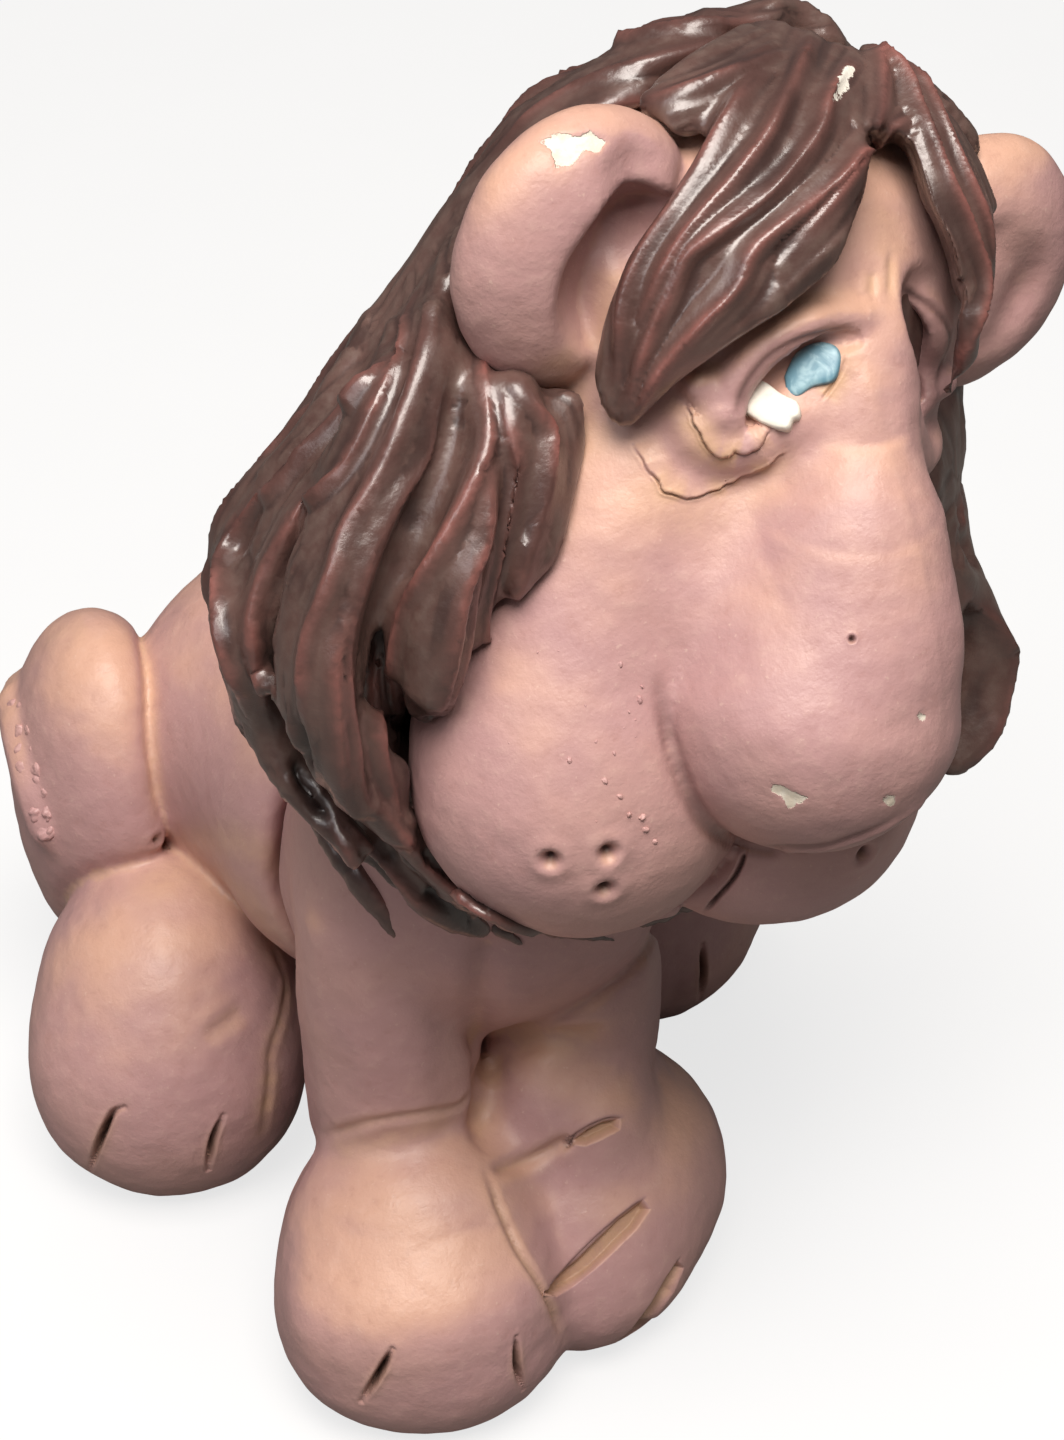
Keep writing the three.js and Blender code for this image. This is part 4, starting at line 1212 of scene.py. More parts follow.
# Radius and blend of the left ear's dish and root, and of the cut at the right ear's mouth
EAR_DISH_ROLL, EAR_ROOT_ROLL, EAR_MOUTH_ROLL = (6.6, 3.0), (5.0, 2.0), (5.0, 1.0)

# Longest edges left in the skin at coarse and fine lines, and the size of small finger marks
COARSE_EDGE, FINE_EDGE, SMALL_MARKS = 2.4, 1.3, 2.6
FACE_STAIN, BODY_STAIN = 0.3, 0.6

# Rounds of averaging against which small and wide hollows are told
FINE_HOLLOWS, MANE_HOLLOWS, BROAD_HOLLOWS = 6, 24, 40
CHIP_DEPTH = 0.25

# The hood over each eye, from its inner end: radii, how far it stands out, and the places of both along it
HOOD_SWELL = ([0.5, 1.6, 2.3, 1.9], [0, 0.25, 0.5, 1])
HOOD_PROUD = ([-0.4, 1.1, 1.1], [0, 0.3, 1])
UNDERCUT_SWELL = ([0.8, 1.9, 1.2], [0, 0.4, 1])
FLAP_ENDS, FLAP_PROUD = (1.9, 0.8), 0.7
HOOD_SHARES = (1.0, 0.8)

# A fold between two solids of the face is filled by the least width low down, and by the sum of both above
LEAST_FOLD, FOLD_WIDTH = 1.4, 8.0


def other_side(line, clay):
    """The same line on the clay of the face's other side, a little higher and nearer the nose."""
    axes = head_axes()
    shift = np.array([-LEFT_EYE_INWARDS, -RAY_START, LEFT_EYE_RISE])
    local = (line - HEAD_AT) @ axes * np.array([-1, 0, 1]) + shift
    points, met = clay.shot(HEAD_AT + local @ axes.T, np.broadcast_to(axes[:, 1], local.shape))
    return points[met]


@functools.lru_cache(maxsize=1)
def modelled_head(grain):
    """The head's clay, with the eye sockets under their hoods."""
    clay = Clay(HEAD_NODES, grain)
    axes = head_axes()

    def fold(low, high):
        return lambda spots: LEAST_FOLD + FOLD_WIDTH * ease(low, high, (spots - HEAD_AT) @ axes[:, 2])

    for node, (softness, blend) in HEAD_NODES.items():
        worked = fold(*blend) if isinstance(blend, tuple) else blend
        clay.add(node, softness, worked, LEFT_EAR_CLOSING if node == "left_ear" else 0.0)
    clay.lay(HEAD_AT + smooth_line(LEFT_EAR_DISH, 1.0) @ axes.T, *EAR_DISH_ROLL)
    for tool in HEAD_TOOLS:
        clay.work(*tool)
    lines = [clay.seen(pixels) for pixels in (BROW_HOOD, HOOD_UNDERCUT, HOOD_FLAP)]
    hoods, undercuts, flaps = [(line, other_side(line[len(line) // 5 :], clay)) for line in lines]
    for line, share in zip(hoods, HOOD_SHARES):
        proud = share * along_line(line, *HOOD_PROUD)
        clay.lay(clay.raised(line, proud), share * along_line(line, *HOOD_SWELL), 2.4)
    for line in flaps:
        clay.lay(clay.raised(line, FLAP_PROUD), np.linspace(*FLAP_ENDS, len(line)), 1.2)
    for line in undercuts:
        clay.cut(line, along_line(line, *UNDERCUT_SWELL), 0.4)
    return clay


class LION_OT_head(bpy.types.Operator):
    """Models the head: face, nose, jowls, chin, ears, brows and lids"""

    bl_idname = "lion.head"
    bl_label = "Head"

    def execute(self, context):
        clay = modelled_head(grain_of("head"))
        skin = Skin(*clay.skin())
        crease = clay.seen(NOSE_CREASE)
        edge, crack, bag, corner, split, mouth = (
            clay.seen(pixels, FINE_STEP)
            for pixels in (HOOD_EDGE, torn(LID_CRACK, 1.0), torn(EYE_BAG, 2.0), EYE_CORNER, LIP_SPLIT, MOUTH)
        )
        frowns = [clay.seen(pixels, FINE_STEP) for pixels in FROWN]
        left_edge = other_side(edge, clay)
        pits = [clay.seen([pixel]) for pixel in WHISKER_PITS]
        pin = clay.seen([NOSE_PINHOLE])
        fine = [edge, left_edge, crack, bag, corner, split, mouth, pin] + pits
        handled(skin, fine, frowns + [crease], 9.0, (1.0, 2.0))
        valley = np.zeros(len(skin.points))
        valley[skin.near(crease, CREASE_REACH)[0]] = 1.0
        skin.smooth(CREASE_RUBS, valley)
        skin.press(crease, NOSE_FOLD)
        skin.press(split, LIP_CUT)
        skin.press(mouth, MOUTH_CUT)
        for line in (edge, left_edge):
            skin.press(line, HOOD_SHADE)
        skin.ledge(crack, *LID_LEDGE)
        skin.press(crack, LID_TEAR)
        skin.ledge(bag, *BAG_LEDGE)
        skin.press(bag, BAG_TEAR)
        skin.press(corner, CORNER_TEAR)
        for line in frowns:
            skin.press(line, FROWN_LINE)
        skin.press(clay.seen(LEFT_CHEEK), CHEEK_SHADE)
        for pit in pits:
            skin.press(pit + PIT_RISE, WHISKER_PIT)
        skin.press(pin, PINHOLE)
        for outline in WHITE_CHIPS.values():
            skin.patch("chip", outline, clay, CHIP_DEPTH)
        paint_hide(skin, clay, FACE_TANS, FACE_STAIN)
        skin.piece("head", hide_paint(), list(HEAD_NODES) + RELAID_NODES, "hide_paint")
        return {"FINISHED"}


# How far a patch stands out of the face at its middle and at its rim, in millimetres
IRIS_RISE, WHITE_RISE = (0.55, 0.2), (1.5, 1.2)


def laid_patch(outline, clay, mirror, crown, rim):
    """A thin patch of clay inside a pixel outline, laid on the face and closed at the back."""
    rings, turns, thickness = 12, 60, 1.4
    edge = smooth_line(list(outline) + [outline[0]], 1.0)
    edge = edge[np.linspace(0, len(edge) - 1, turns, endpoint=False).astype(int)]
    middle = np.mean(edge, axis=0)
    shares = np.arange(1, rings + 1) / rings
    pixels = np.concatenate([middle[None], *(middle + share * (edge - middle) for share in shares)])
    spots, met = clay.shot(*rays(pixels))
    if not met.all():
        raise RuntimeError("a patch of the eye misses the face")
    if mirror:
        spots = other_side(spots, clay)
    if len(spots) != len(pixels):
        raise RuntimeError("a patch of the eye misses the face on the other side")
    out = clay.outward(spots).mean(0)
    out /= np.linalg.norm(out)
    spots = spots - ((spots - spots.mean(0)) @ out)[:, None] * out
    lift = np.concatenate([[crown], np.repeat(crown + (rim - crown) * shares**5, turns)])
    points = spots + lift[:, None] * out
    back = points[-turns:] - out * (rim + thickness)
    points = np.concatenate([points, back, back.mean(0, keepdims=True)])
    ring = np.arange(turns)
    following = (ring + 1) % turns
    faces = [np.stack([0 * ring, 1 + ring, 1 + following], 1)]
    for start in range(1, 1 + rings * turns, turns):
        near, far = start + ring, start + following
        faces.append(np.stack([near, near + turns, far + turns, far], 1))
    last = 1 + rings * turns
    faces.append(np.stack([last + ring, 0 * ring + len(points) - 1, last + following], 1))
    faces = [face[::-1] if mirror else face for group in faces for face in group]
    skin = Skin(points, faces)
    depth = np.concatenate([[0], np.repeat(shares, turns), np.ones(turns + 1)])
    # Painted shade round the rim, where the patch meets the face, and on its back; only the iris paint uses
    # it
    skin.marks["dark"] = 0.5 * ease(0.88, 1.0, depth)
    return skin


class LION_OT_eyes(bpy.types.Operator):
    """Models the irises and the chipped white of the right eye"""

    bl_idname = "lion.eyes"
    bl_label = "Eyes"

    def execute(self, context):
        clay = modelled_head(grain_of("head"))
        for side in SIDES:
            iris = laid_patch(RIGHT_IRIS, clay, side == "left", *IRIS_RISE)
            iris.piece(f"{side}_iris_disc", iris_paint(), [f"{side}_iris"], "iris_paint")
        white = laid_patch(EYE_WHITE, clay, False, *WHITE_RISE)
        white.piece("right_eye_white", white_paint(), [], "hide_paint")
        return {"FINISHED"}


# The grooves that the paws' solids have are filled up to this width, in millimetres
PAW_CLOSING = 1.2

# Depth of the notches cut between the toes, and the run of their mark from skin to notch
WEDGE_DEPTH, WEDGE_EDGE = 1.7, (2.9, 3.3)


class LION_OT_forequarters(bpy.types.Operator):
    """Models the chest, the front legs and the front paws"""

    bl_idname = "lion.forequarters"
    bl_label = "Forequarters"

    def execute(self, context):
        clay = Clay(FORE_NODES, grain_of("forequarters"))
        for node, (softness, blend) in FORE_NODES.items():
            clay.add(node, softness, blend, PAW_CLOSING if node.endswith("paw") else 0.0)
        for tool in FORE_TOOLS:
            clay.work(*tool)
        skin = Skin(*clay.skin())
        slits, wedges, shades = (
            [clay.seen(pixels, SLIT_STEP) for pixels in lines]
            for lines in (FRONT_SLITS, TOE_WEDGES, TOE_SHADES)
        )
        handled(skin, slits + wedges, [], 9.0, (5.0, 6.0))
        press_slits(skin, slits)
        for outline in TOE_WEDGES:
            skin.patch("wedge", outline, clay, WEDGE_DEPTH)
        # The floors of the notches between the toes take ochre wash and a little painted shade
        floor = ease(*WEDGE_EDGE, skin.marks.pop("wedge"))
        skin.marks["wash"] = np.maximum(skin.mark("wash"), 0.9 * floor)
        skin.marks["dark"] = np.maximum(skin.mark("dark"), 0.22 * floor)
        for line in shades:
            skin.press(line, TOE_SHADE)
        for pixels, groove in FORE_GROOVES:
            skin.press(clay.seen(pixels), groove)
        paint_hide(skin, clay, FORE_TANS, BODY_STAIN)
        skin.piece("forequarters", hide_paint(), list(FORE_NODES), "hide_paint")
        return {"FINISHED"}


@functools.lru_cache(maxsize=1)
def modelled_hind(grain):
    """The hindquarters' clay."""
    clay = Clay(HIND_NODES, grain)
    for node, (softness, blend) in HIND_NODES.items():
        clay.add(node, softness, blend, PAW_CLOSING if node == "right_hind_paw" else 0.0)
    return clay


class LION_OT_hindquarters(bpy.types.Operator):
    """Models the trunk, the haunches, the hind paws and the tail"""

    bl_idname = "lion.hindquarters"
    bl_label = "Hindquarters"

    def execute(self, context):
        clay = modelled_hind(grain_of("hindquarters"))
        skin = Skin(*clay.skin())
        slits = [clay.seen(pixels, SLIT_STEP) for pixels in HIND_SLITS]
        handled(skin, slits, [], 10.0, (9.0, 11.0))
        press_slits(skin, slits)
        for pixels, groove in HIND_GROOVES:
            skin.press(clay.seen(pixels), groove)
        paint_hide(skin, clay, HIND_TANS, BODY_STAIN)
        skin.piece("hindquarters", hide_paint(), list(HIND_NODES), "hide_paint")
        return {"FINISHED"}


def crumb_tree():
    """Geometry nodes that set a squashed crumb of clay on every point, turned at random."""
    tree = bpy.data.node_groups.new("crumbs", "GeometryNodeTree")
    for name, way, kind in (
        ("Points", "INPUT", "Geometry"),
        ("Size", "INPUT", "Float"),
        ("Seed", "INPUT", "Int"),
        ("Material", "INPUT", "Material"),
        ("Crumbs", "OUTPUT", "Geometry"),
    ):
        tree.interface.new_socket(name, in_out=way, socket_type="NodeSocket" + kind)

    def add(kind, values=None, **settings):
        made = tree.nodes.new(kind)
        for key, value in settings.items():
            setattr(made, key, value)
        for socket, value in (values or {}).items():
            made.inputs[socket].default_value = value
        return made

    start, end = add("NodeGroupInput"), add("NodeGroupOutput")
    dots = add("GeometryNodeMeshToPoints")
    ball = add("GeometryNodeMeshIcoSphere", {"Radius": 1.0, "Subdivisions": 4})
    dent = add("GeometryNodeSetPosition")
    cloud = add("ShaderNodeTexNoise", {"Scale": 1.3})
    push = add("ShaderNodeVectorMath", operation="SCALE")
    middle = add("ShaderNodeMath", {1: 0.7, 2: -0.35}, operation="MULTIPLY_ADD")
    normal = add("GeometryNodeInputNormal")
    turn = add("FunctionNodeRandomValue", data_type="FLOAT_VECTOR")
    turn.inputs["Max"].default_value = (6.28, 6.28, 6.28)
    share = add("GeometryNodeInputNamedAttribute", {"Name": "share"})
    grow = add("ShaderNodeMath", operation="MULTIPLY")
    squash = add("ShaderNodeVectorMath", {1: (1.0, 1.25, 0.8)}, operation="MULTIPLY")
    setting = add("GeometryNodeInstanceOnPoints")
    real = add("GeometryNodeRealizeInstances")
    coat = add("GeometryNodeSetMaterial")
    vector = next(output for output in turn.outputs if output.enabled)
    amount = next(output for output in share.outputs if output.enabled and output.name == "Attribute")
    for source, target in (
        (start.outputs["Points"], dots.inputs["Mesh"]),
        (dots.outputs["Points"], setting.inputs["Points"]),
        (ball.outputs["Mesh"], dent.inputs["Geometry"]),
        (cloud.outputs["Fac"], middle.inputs[0]),
        (normal.outputs[0], push.inputs[0]),
        (middle.outputs[0], push.inputs["Scale"]),
        (push.outputs[0], dent.inputs["Offset"]),
        (dent.outputs["Geometry"], setting.inputs["Instance"]),
        (start.outputs["Seed"], turn.inputs["Seed"]),
        (vector, setting.inputs["Rotation"]),
        (amount, grow.inputs[0]),
        (start.outputs["Size"], grow.inputs[1]),
        (grow.outputs[0], squash.inputs[0]),
        (squash.outputs[0], setting.inputs["Scale"]),
        (setting.outputs["Instances"], real.inputs["Geometry"]),
        (real.outputs["Geometry"], coat.inputs["Geometry"]),
        (start.outputs["Material"], coat.inputs["Material"]),
        (coat.outputs["Geometry"], end.inputs["Crumbs"]),
    ):
        tree.links.new(source, target)
    return tree


class LION_OT_crumbs(bpy.types.Operator):
    """Sets crumbs of clay on the jowl and bumps along the tail's tuft"""

    bl_idname = "lion.crumbs"
    bl_label = "Crumbs"

    def execute(self, context):
        sizes = context.scene.lion_clay
        head, hind = modelled_head(grain_of("head")), modelled_hind(grain_of("hindquarters"))
        chance = np.random.default_rng(4)
        corner, far = np.min(JOWL_FIELD, axis=0), np.max(JOWL_FIELD, axis=0)
        scattered = corner + chance.random((20, 2)) * (far - corner)
        # Clay, pixels, the least and greatest share of a crumb's size, and how deep it is set
        groups = (
            (head, JOWL_CRUMBS, 0.5, 0.85, 0.5),
            (head, scattered, 0.2, 0.42, 0.5),
            (hind, smooth_line(TUFT_BUMPS, 15.0) + chance.normal(0, 2.5, (9, 2)), 2.6, 4.4, 0.85),
            (hind, smooth_line(TUFT_BUMPS, 19.0) + np.array([9, 5]), 2.0, 3.4, 0.8),
        )
        places, shares = [], []
        for clay, pixels, least, most, deep in groups:
            spots, met = clay.shot(*rays(pixels))
            share = least + (most - least) * chance.random(len(spots))
            sunk = deep * sizes.crumb_size / MM * share
            places.append(clay.raised(spots, -sunk)[met])
            shares.append(share[met])
        dots = bpy.data.meshes.new("crumb_dots")
        places, shares = np.concatenate(places), np.concatenate(shares)
        dots.from_pydata((places * MM).tolist(), [], [])
        set_mark(dots, "share", shares)
        holder = bpy.data.objects.new("crumb_dots", dots)
        context.scene.collection.objects.link(holder)
        tree = crumb_tree()
        grower = holder.modifiers.new("crumbs", "NODES")
        grower.node_group = tree
        values = {"Size": sizes.crumb_size, "Seed": 3, "Material": hide_paint()}
        for socket in tree.interface.items_tree:
            if socket.in_out == "INPUT" and socket.name in values:
                grower[socket.identifier] = values[socket.name]
        context.view_layer.update()
        grown = holder.evaluated_get(context.evaluated_depsgraph_get())
        mesh = bpy.data.meshes.new_from_object(grown)
        holder.modifiers.remove(grower)
        bpy.data.objects.remove(holder)
        mesh.shade_smooth()
        settled(mesh, "crumbs", [])
        return {"FINISHED"}


COMB_STEP = 0.5

# Where the mane's hidden lines run: heights down the head in millimetres, and angles round it in degrees
MANE_LEVELS = np.arange(-20, 84, 6.0)
STRAND_ANGLES, COMB_ANGLES = np.arange(62, 299, 13.0), np.arange(62, 299, 6.5)
SWAY_SEED = 2.0

# The mane's clay, in millimetres: how far from a surface its depth is known, and what seats it on the head
HAIR_REACH = 5.0
CORE_SOFTNESS, LOCK_SOFTNESS = 1.3, 0.9
SEAT_NODES, SEAT_DEPTH = ("skull", "right_jowl", "left_jowl", "chest"), 1.6
HIDDEN_SWELL = [1.2, 2.6, 2.8, 1.6]
MANE_CHIP_DEPTH = 0.3
# Painted shade, near black, pressed into the mane's gaps and laid in its deeper hollows
MANE_FURROW = {"dark": (0.95, 1.6)}
DARK_HOLLOW = (0.5, 1.8)

# The blade that trims the fringe: its steps along the view, its radius and its blend
TRIM_STEPS, TRIM_ROLL = np.arange(-5, 12, 1.0), (3.0, 1.0)


def combed(skin, drawn, ruled, sizes):
    """Raises combed crests along lines, with concave furrows between them, and marks both."""
    spots, heights, numbers, runs, tangents = [], [], [], [], []
    for number, line in enumerate(drawn + ruled):
        if len(line) < 3:
            continue
        line = smooth_line(line, COMB_STEP)
        strong = 0.8 + 0.5 * noise.noise(Vector((number * 3.7, 1.3, 0.2)))
        along = np.arange(len(line))
        uneven = np.array([1 + 0.35 * noise.noise(Vector(spot / 7.0)) for spot in line])
        spots.append(line)
        heights.append(strong * uneven * np.clip(0.2 + np.minimum(along, along[::-1]) / 14, 0, 1))
        numbers.append(np.full(len(line), number))
        runs.append(along * COMB_STEP)
        tangents.append(np.gradient(line, axis=0))
    parts = (spots, heights, numbers, runs, tangents)
    spots, heights, numbers, runs, tangents = (np.concatenate(part) for part in parts)
    tree = kdtree.KDTree(len(spots))
    for k, spot in enumerate(spots):
        tree.insert(spot, k)
    tree.balance()
    found = [tree.find(p) for p in skin.points]
    nearest = np.array([f[1] for f in found])
    distance = np.array([f[2] for f in found])
    normals = skin.normals()
    sideways = np.cross(normals, tangents[nearest])
    across = np.einsum("ij,ij->i", skin.points - spots[nearest], sideways)
    across /= np.maximum(np.linalg.norm(sideways, axis=1), 1e-9)
    strokes = zip(across, runs[nearest], numbers[nearest])
    streak = np.array([noise.noise(Vector((a / 1.1, r / 9.0, n * 5.1))) for a, r, n in strokes])
    height = heights[nearest]
    width = sizes.crest_width / MM
    raised = height * (1 - np.clip(distance / (2.6 * width), 0, 1)) ** 2
    skin.points += normals * (sizes.crest_height / MM * (raised - 0.2) + 0.35 * streak)[:, None]
    skin.marks["streak"] = 0.5 + 0.5 * streak
    worn = np.clip(1.25 + 0.8 * streak, 0.3, 1.5)
    skin.marks["crest"] = np.clip(worn * height * np.exp(-((distance / (0.42 * width)) ** 2)), 0, 1)
    # The furrows take the painted grey sheen
    skin.marks["furrow"] = np.clip(ease(0.6 * width, 1.6 * width, distance) * (0.6 + 0.8 * streak), 0, 1)
    skin.mark("dark")
    skin.mark("chip")


def mane_lines(clay, angles):
    """Lines down the mane at angles round the head from the face, where the camera sees none."""
    axes, levels = head_axes(), MANE_LEVELS
    number = np.arange(len(angles))[:, None]
    sway = np.array([[4 * noise.noise(Vector((SWAY_SEED, k * 1.7, 0.0)))] for k in range(len(angles))])
    turn = np.radians(angles[:, None] + sway + 3.0 * np.sin(levels / 13 + number * 1.9))
    outward = np.stack([np.sin(turn), -np.cos(turn), np.full(turn.shape, 0.12)], -1) @ axes.T
    outward /= np.linalg.norm(outward, axis=-1, keepdims=True)
    hub = HEAD_AT + np.stack([0 * levels, 0 * levels + 10, -levels], -1) @ axes.T
    start = hub[None] + outward * RAY_START
    spots, met = clay.shot(start.reshape(-1, 3), -outward.reshape(-1, 3))
    spots = spots.reshape(*turn.shape, 3)
    met = met.reshape(turn.shape)
    lines = [smooth_line(line[hit], 2.0) for line, hit in zip(spots, met) if hit.sum() > 2]
    eye = viewpoint()[0]
    every = np.concatenate(lines)
    far = np.linalg.norm(every - eye, axis=1)
    first, hit = clay.shot(eye, (every - eye) / far[:, None])
    unseen = hit & (np.linalg.norm(first - eye, axis=1) < far - 1.5)
    hidden = []
    start = 0
    for line in lines:
        keep = unseen[start : start + len(line)]
        start += len(line)
        for run in np.split(np.arange(len(line)), np.flatnonzero(np.diff(keep.astype(int))) + 1):
            if keep[run[0]] and len(run) > 3:
                hidden.append(line[run])
    return hidden


class LION_OT_mane(bpy.types.Operator):
    """Models the mane behind the ears and round the cheeks, combed into crests"""

    bl_idname = "lion.mane"
    bl_label = "Mane"

    def execute(self, context):
        clay = Clay(MANE_NODES, grain_of("mane"), HAIR_REACH)
        for node in MANE_NODES:
            clay.add(node, CORE_SOFTNESS if node == "mane_core" else LOCK_SOFTNESS, 3.5)
        clay.depth = softened(clay.depth, 1.2 / clay.grain)
        hair = Clay(MANE_NODES, clay.grain, clay.reach)
        hair.depth[:] = clay.depth
        strands = [(hair.bridged(line, 6.0), swell) for swell, line in MANE_STRANDS]
        for node in SEAT_NODES:
            clay.add(node, 2.0, 0.5, 0.0, SEAT_DEPTH)
        strands += [(line, HIDDEN_SWELL) for line in mane_lines(clay, STRAND_ANGLES)]
        laid = []
        for line, swell in strands:
            radius = along_line(line, swell)
            laid.append((clay.raised(line, -0.5 * radius), radius))
        for swell, pixels in BEARD_STRANDS:
            line = clay.seen(pixels, 4.0)
            radius = along_line(line, swell)
            lift = ease(0.3, 3.0, hair.depth_at(line)) * 1.9 - 0.45 * radius
            laid.append((clay.raised(line, lift), radius))
        for line, radius in laid:
            clay.lay(line, radius, 0.5)
        clay.lay(HEAD_AT + smooth_line(LEFT_EAR_ROOT, 1.0) @ head_axes().T, *EAR_ROOT_ROLL)
        clay.cut(clay.seen(EAR_MOUTH), *EAR_MOUTH_ROLL)
        skin = Skin(*clay.skin())
        skin.smooth(2)
        drawn = [clay.seen(pixels) for pixels in RIGHT_MANE_CRESTS + CROWN_CRESTS + LEFT_MANE_CRESTS]
        drawn += [clay.seen(pixels) for _, pixels in BEARD_STRANDS]
        combed(skin, drawn, mane_lines(clay, COMB_ANGLES), context.scene.lion_clay)
        for width, depth, line in MANE_GAPS:
            skin.press(clay.seen(line), Groove(width, depth, MANE_FURROW))
        # Painted shade in the mane's hollows
        deep = skin.hollows(MANE_HOLLOWS)
        skin.marks["dark"] = np.maximum(skin.marks["dark"], 0.85 * ease(*DARK_HOLLOW, deep))
        skin.patch("chip", MANE_CHIPS["edge"], clay, MANE_CHIP_DEPTH)
        skin.piece("mane", mane_paint(), MANE_NODES, "mane_paint")
        return {"FINISHED"}


class LION_OT_fringe(bpy.types.Operator):
    """Models the fringe swept across the forehead"""

    bl_idname = "lion.fringe"
    bl_label = "Fringe"

    def execute(self, context):
        clay = Clay(FRINGE_NODES, grain_of("fringe"), HAIR_REACH)
        for node in FRINGE_NODES:
            clay.add(node, LOCK_SOFTNESS, 2.5)
        clay.depth = softened(clay.depth, 0.8 / clay.grain) - np.float32(0.4)
        inwards = -viewpoint()[3]
        for pixels in FRINGE_TRIMS:
            trim = clay.bridged(pixels)
            clay.cut(np.concatenate([trim + inwards * step for step in TRIM_STEPS]), *TRIM_ROLL)
        skin = Skin(*clay.skin())
        skin.smooth(4)
        drawn = [clay.seen(pixels) for pixels in FRINGE_CRESTS + CROWN_CRESTS[2:3]]
        combed(skin, drawn, [], context.scene.lion_clay)
        # Painted shade in the fringe's hollows
        skin.marks["dark"] = 0.8 * ease(*DARK_HOLLOW, skin.hollows(BROAD_HOLLOWS))
        for name in ("crown", "front"):
            skin.patch("chip", MANE_CHIPS[name], clay, MANE_CHIP_DEPTH)
        skin.piece("fringe", mane_paint(), FRINGE_NODES, "mane_paint")
        return {"FINISHED"}


# Lamps, in metres, and the camera's sensor in millimetres
KEY_AT, KEY_SIZE, KEY_COLOUR = (-0.12, -0.32, 1.0), 0.55, (1.0, 0.94, 0.88)
FILL_AT, FILL_SIZE, FILL_COLOUR = (-0.65, -0.3, 0.75), 0.5, (0.98, 0.97, 1.0)
LIT_POINT = (0, 0, 0.09)
SENSOR_WIDTH = 36


def lamp(name, place, size, power, colour):
    """A soft square lamp that points at the figure."""
    light = bpy.data.lights.new(name, "AREA")
    light.size = size
    light.energy = power
    light.color = colour
    made = bpy.data.objects.new(name, light)
    made.location = place
    made.rotation_euler = (Vector(LIT_POINT) - Vector(place)).to_track_quat("-Z", "Y").to_euler()
    bpy.context.scene.collection.objects.link(made)


class LION_OT_stage(bpy.types.Operator):
    """Sets the floor, the lamps and the camera"""

    bl_idname = "lion.stage"
    bl_label = "Stage"

    def execute(self, context):
        stage = context.scene.lion_stage
        half = stage.floor_width / 2
        mesh = bpy.data.meshes.new("floor")
        corners = [(-half, -half, 0), (half, -half, 0), (half, half, 0), (-half, half, 0)]
        mesh.from_pydata(corners, [], [(0, 1, 2, 3)])
        floor = bpy.data.objects.new("floor", mesh)
        context.scene.collection.objects.link(floor)
        floor.data.materials.append(floor_paint())
        lamp("key", KEY_AT, KEY_SIZE, stage.key_power, KEY_COLOUR)
        lamp("fill", FILL_AT, FILL_SIZE, stage.fill_power, FILL_COLOUR)
        world = bpy.data.worlds.new("room")
        context.scene.world = world
        world.use_nodes = True
        tree = world.node_tree
        ground = tree.nodes["Background"]
        ground.inputs["Color"].default_value = (1, 1, 1, 1)
        path = tree.nodes.new("ShaderNodeLightPath")
        level = tree.nodes.new("ShaderNodeMapRange")
        level.inputs["To Min"].default_value = stage.ambient
        tree.links.new(path.outputs["Is Camera Ray"], level.inputs["Value"])
        tree.links.new(level.outputs["Result"], ground.inputs["Strength"])
        eye, _, _, back = viewpoint()
        camera = bpy.data.cameras.new("camera")
        camera.sensor_fit = "HORIZONTAL"
        camera.sensor_width = SENSOR_WIDTH
        camera.lens = SENSOR_WIDTH * stage.focus / PHOTO[0]
        camera.clip_start = 0.01
        seen = bpy.data.objects.new("camera", camera)
        seen.location = eye * MM
        seen.rotation_euler = Vector(back).to_track_quat("Z", "Y").to_euler()
        context.scene.collection.objects.link(seen)
        context.scene.camera = seen
        context.scene.view_settings.view_transform = "Standard"
        return {"FINISHED"}


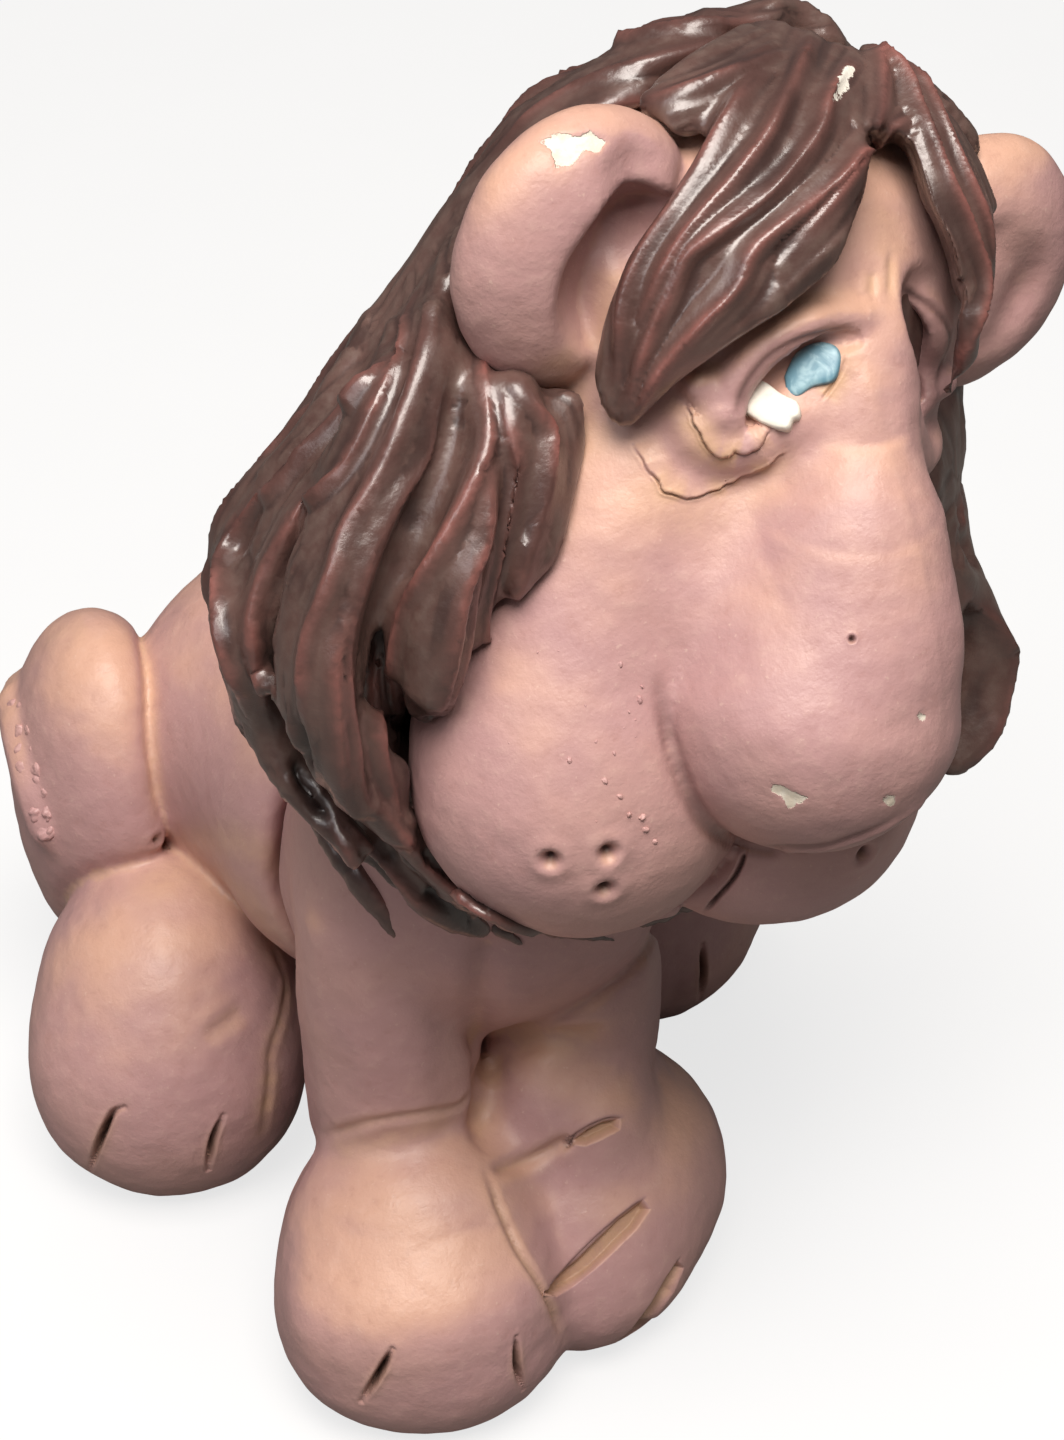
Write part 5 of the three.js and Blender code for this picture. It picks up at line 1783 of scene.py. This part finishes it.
def floor_paint():
    """White to the camera, keeping the figure's shadow."""
    paint = Paint("floor_paint")
    fleck = paint.noise(40, 2.0)
    tree = paint.tree
    light = paint.node("ShaderNodeLightPath")
    pale = paint.mix(paint.span(fleck, 0.3, 0.7), (0.86, 0.86, 0.86), (0.88, 0.88, 0.88))
    paint.finish(paint.mix(light.outputs["Is Camera Ray"], (0.2, 0.19, 0.18), pale), 0.9)
    glow = paint.node("ShaderNodeEmission")
    mixed = paint.node("ShaderNodeMixShader")
    place = paint.node("ShaderNodeNewGeometry")
    far = paint.node("ShaderNodeVectorMath")
    far.operation = "LENGTH"
    paint.join(place.outputs["Position"], far.inputs[0])
    glare = paint.sum("ADD", paint.sum("MULTIPLY", paint.span(far.outputs["Value"], 0.35, 1.4), 0.25), 0.75)
    share = paint.sum("MULTIPLY", light.outputs["Is Camera Ray"], glare)
    paint.join(share, mixed.inputs[0])
    paint.join(paint.shader.outputs[0], mixed.inputs[1])
    paint.join(glow.outputs[0], mixed.inputs[2])
    output = next(node for node in tree.nodes if node.type == "OUTPUT_MATERIAL")
    paint.join(mixed.outputs[0], output.inputs["Surface"])
    return paint.material


class LION_PT_panel(bpy.types.Panel):
    """The lion's pieces and stage"""

    bl_label = "Lion"
    bl_idname = "LION_PT_panel"
    bl_space_type = "VIEW_3D"
    bl_region_type = "UI"
    bl_category = "Lion"

    def draw(self, context):
        for group in (context.scene.lion_clay, context.scene.lion_paint, context.scene.lion_stage):
            for key in group.__annotations__:
                self.layout.prop(group, key)
        for operator in OPERATORS:
            self.layout.operator(operator.bl_idname)


GROUPS = {"lion_clay": LionClay, "lion_paint": LionPaint, "lion_stage": LionStage}
OPERATORS = (
    LION_OT_stage,
    LION_OT_head,
    LION_OT_eyes,
    LION_OT_forequarters,
    LION_OT_hindquarters,
    LION_OT_crumbs,
    LION_OT_mane,
    LION_OT_fringe,
)


def register():
    for name, group in GROUPS.items():
        bpy.utils.register_class(group)
        setattr(bpy.types.Scene, name, bpy.props.PointerProperty(type=group))
    for operator in OPERATORS:
        bpy.utils.register_class(operator)
    bpy.utils.register_class(LION_PT_panel)


def unregister():
    bpy.utils.unregister_class(LION_PT_panel)
    for operator in reversed(OPERATORS):
        bpy.utils.unregister_class(operator)
    for name, group in GROUPS.items():
        delattr(bpy.types.Scene, name)
        bpy.utils.unregister_class(group)


def main():
    register()
    bpy.ops.lion.stage()
    bpy.ops.lion.head()
    bpy.ops.lion.eyes()
    bpy.ops.lion.forequarters()
    bpy.ops.lion.hindquarters()
    bpy.ops.lion.crumbs()
    bpy.ops.lion.mane()
    bpy.ops.lion.fringe()


if __name__ == "__main__":
    main()
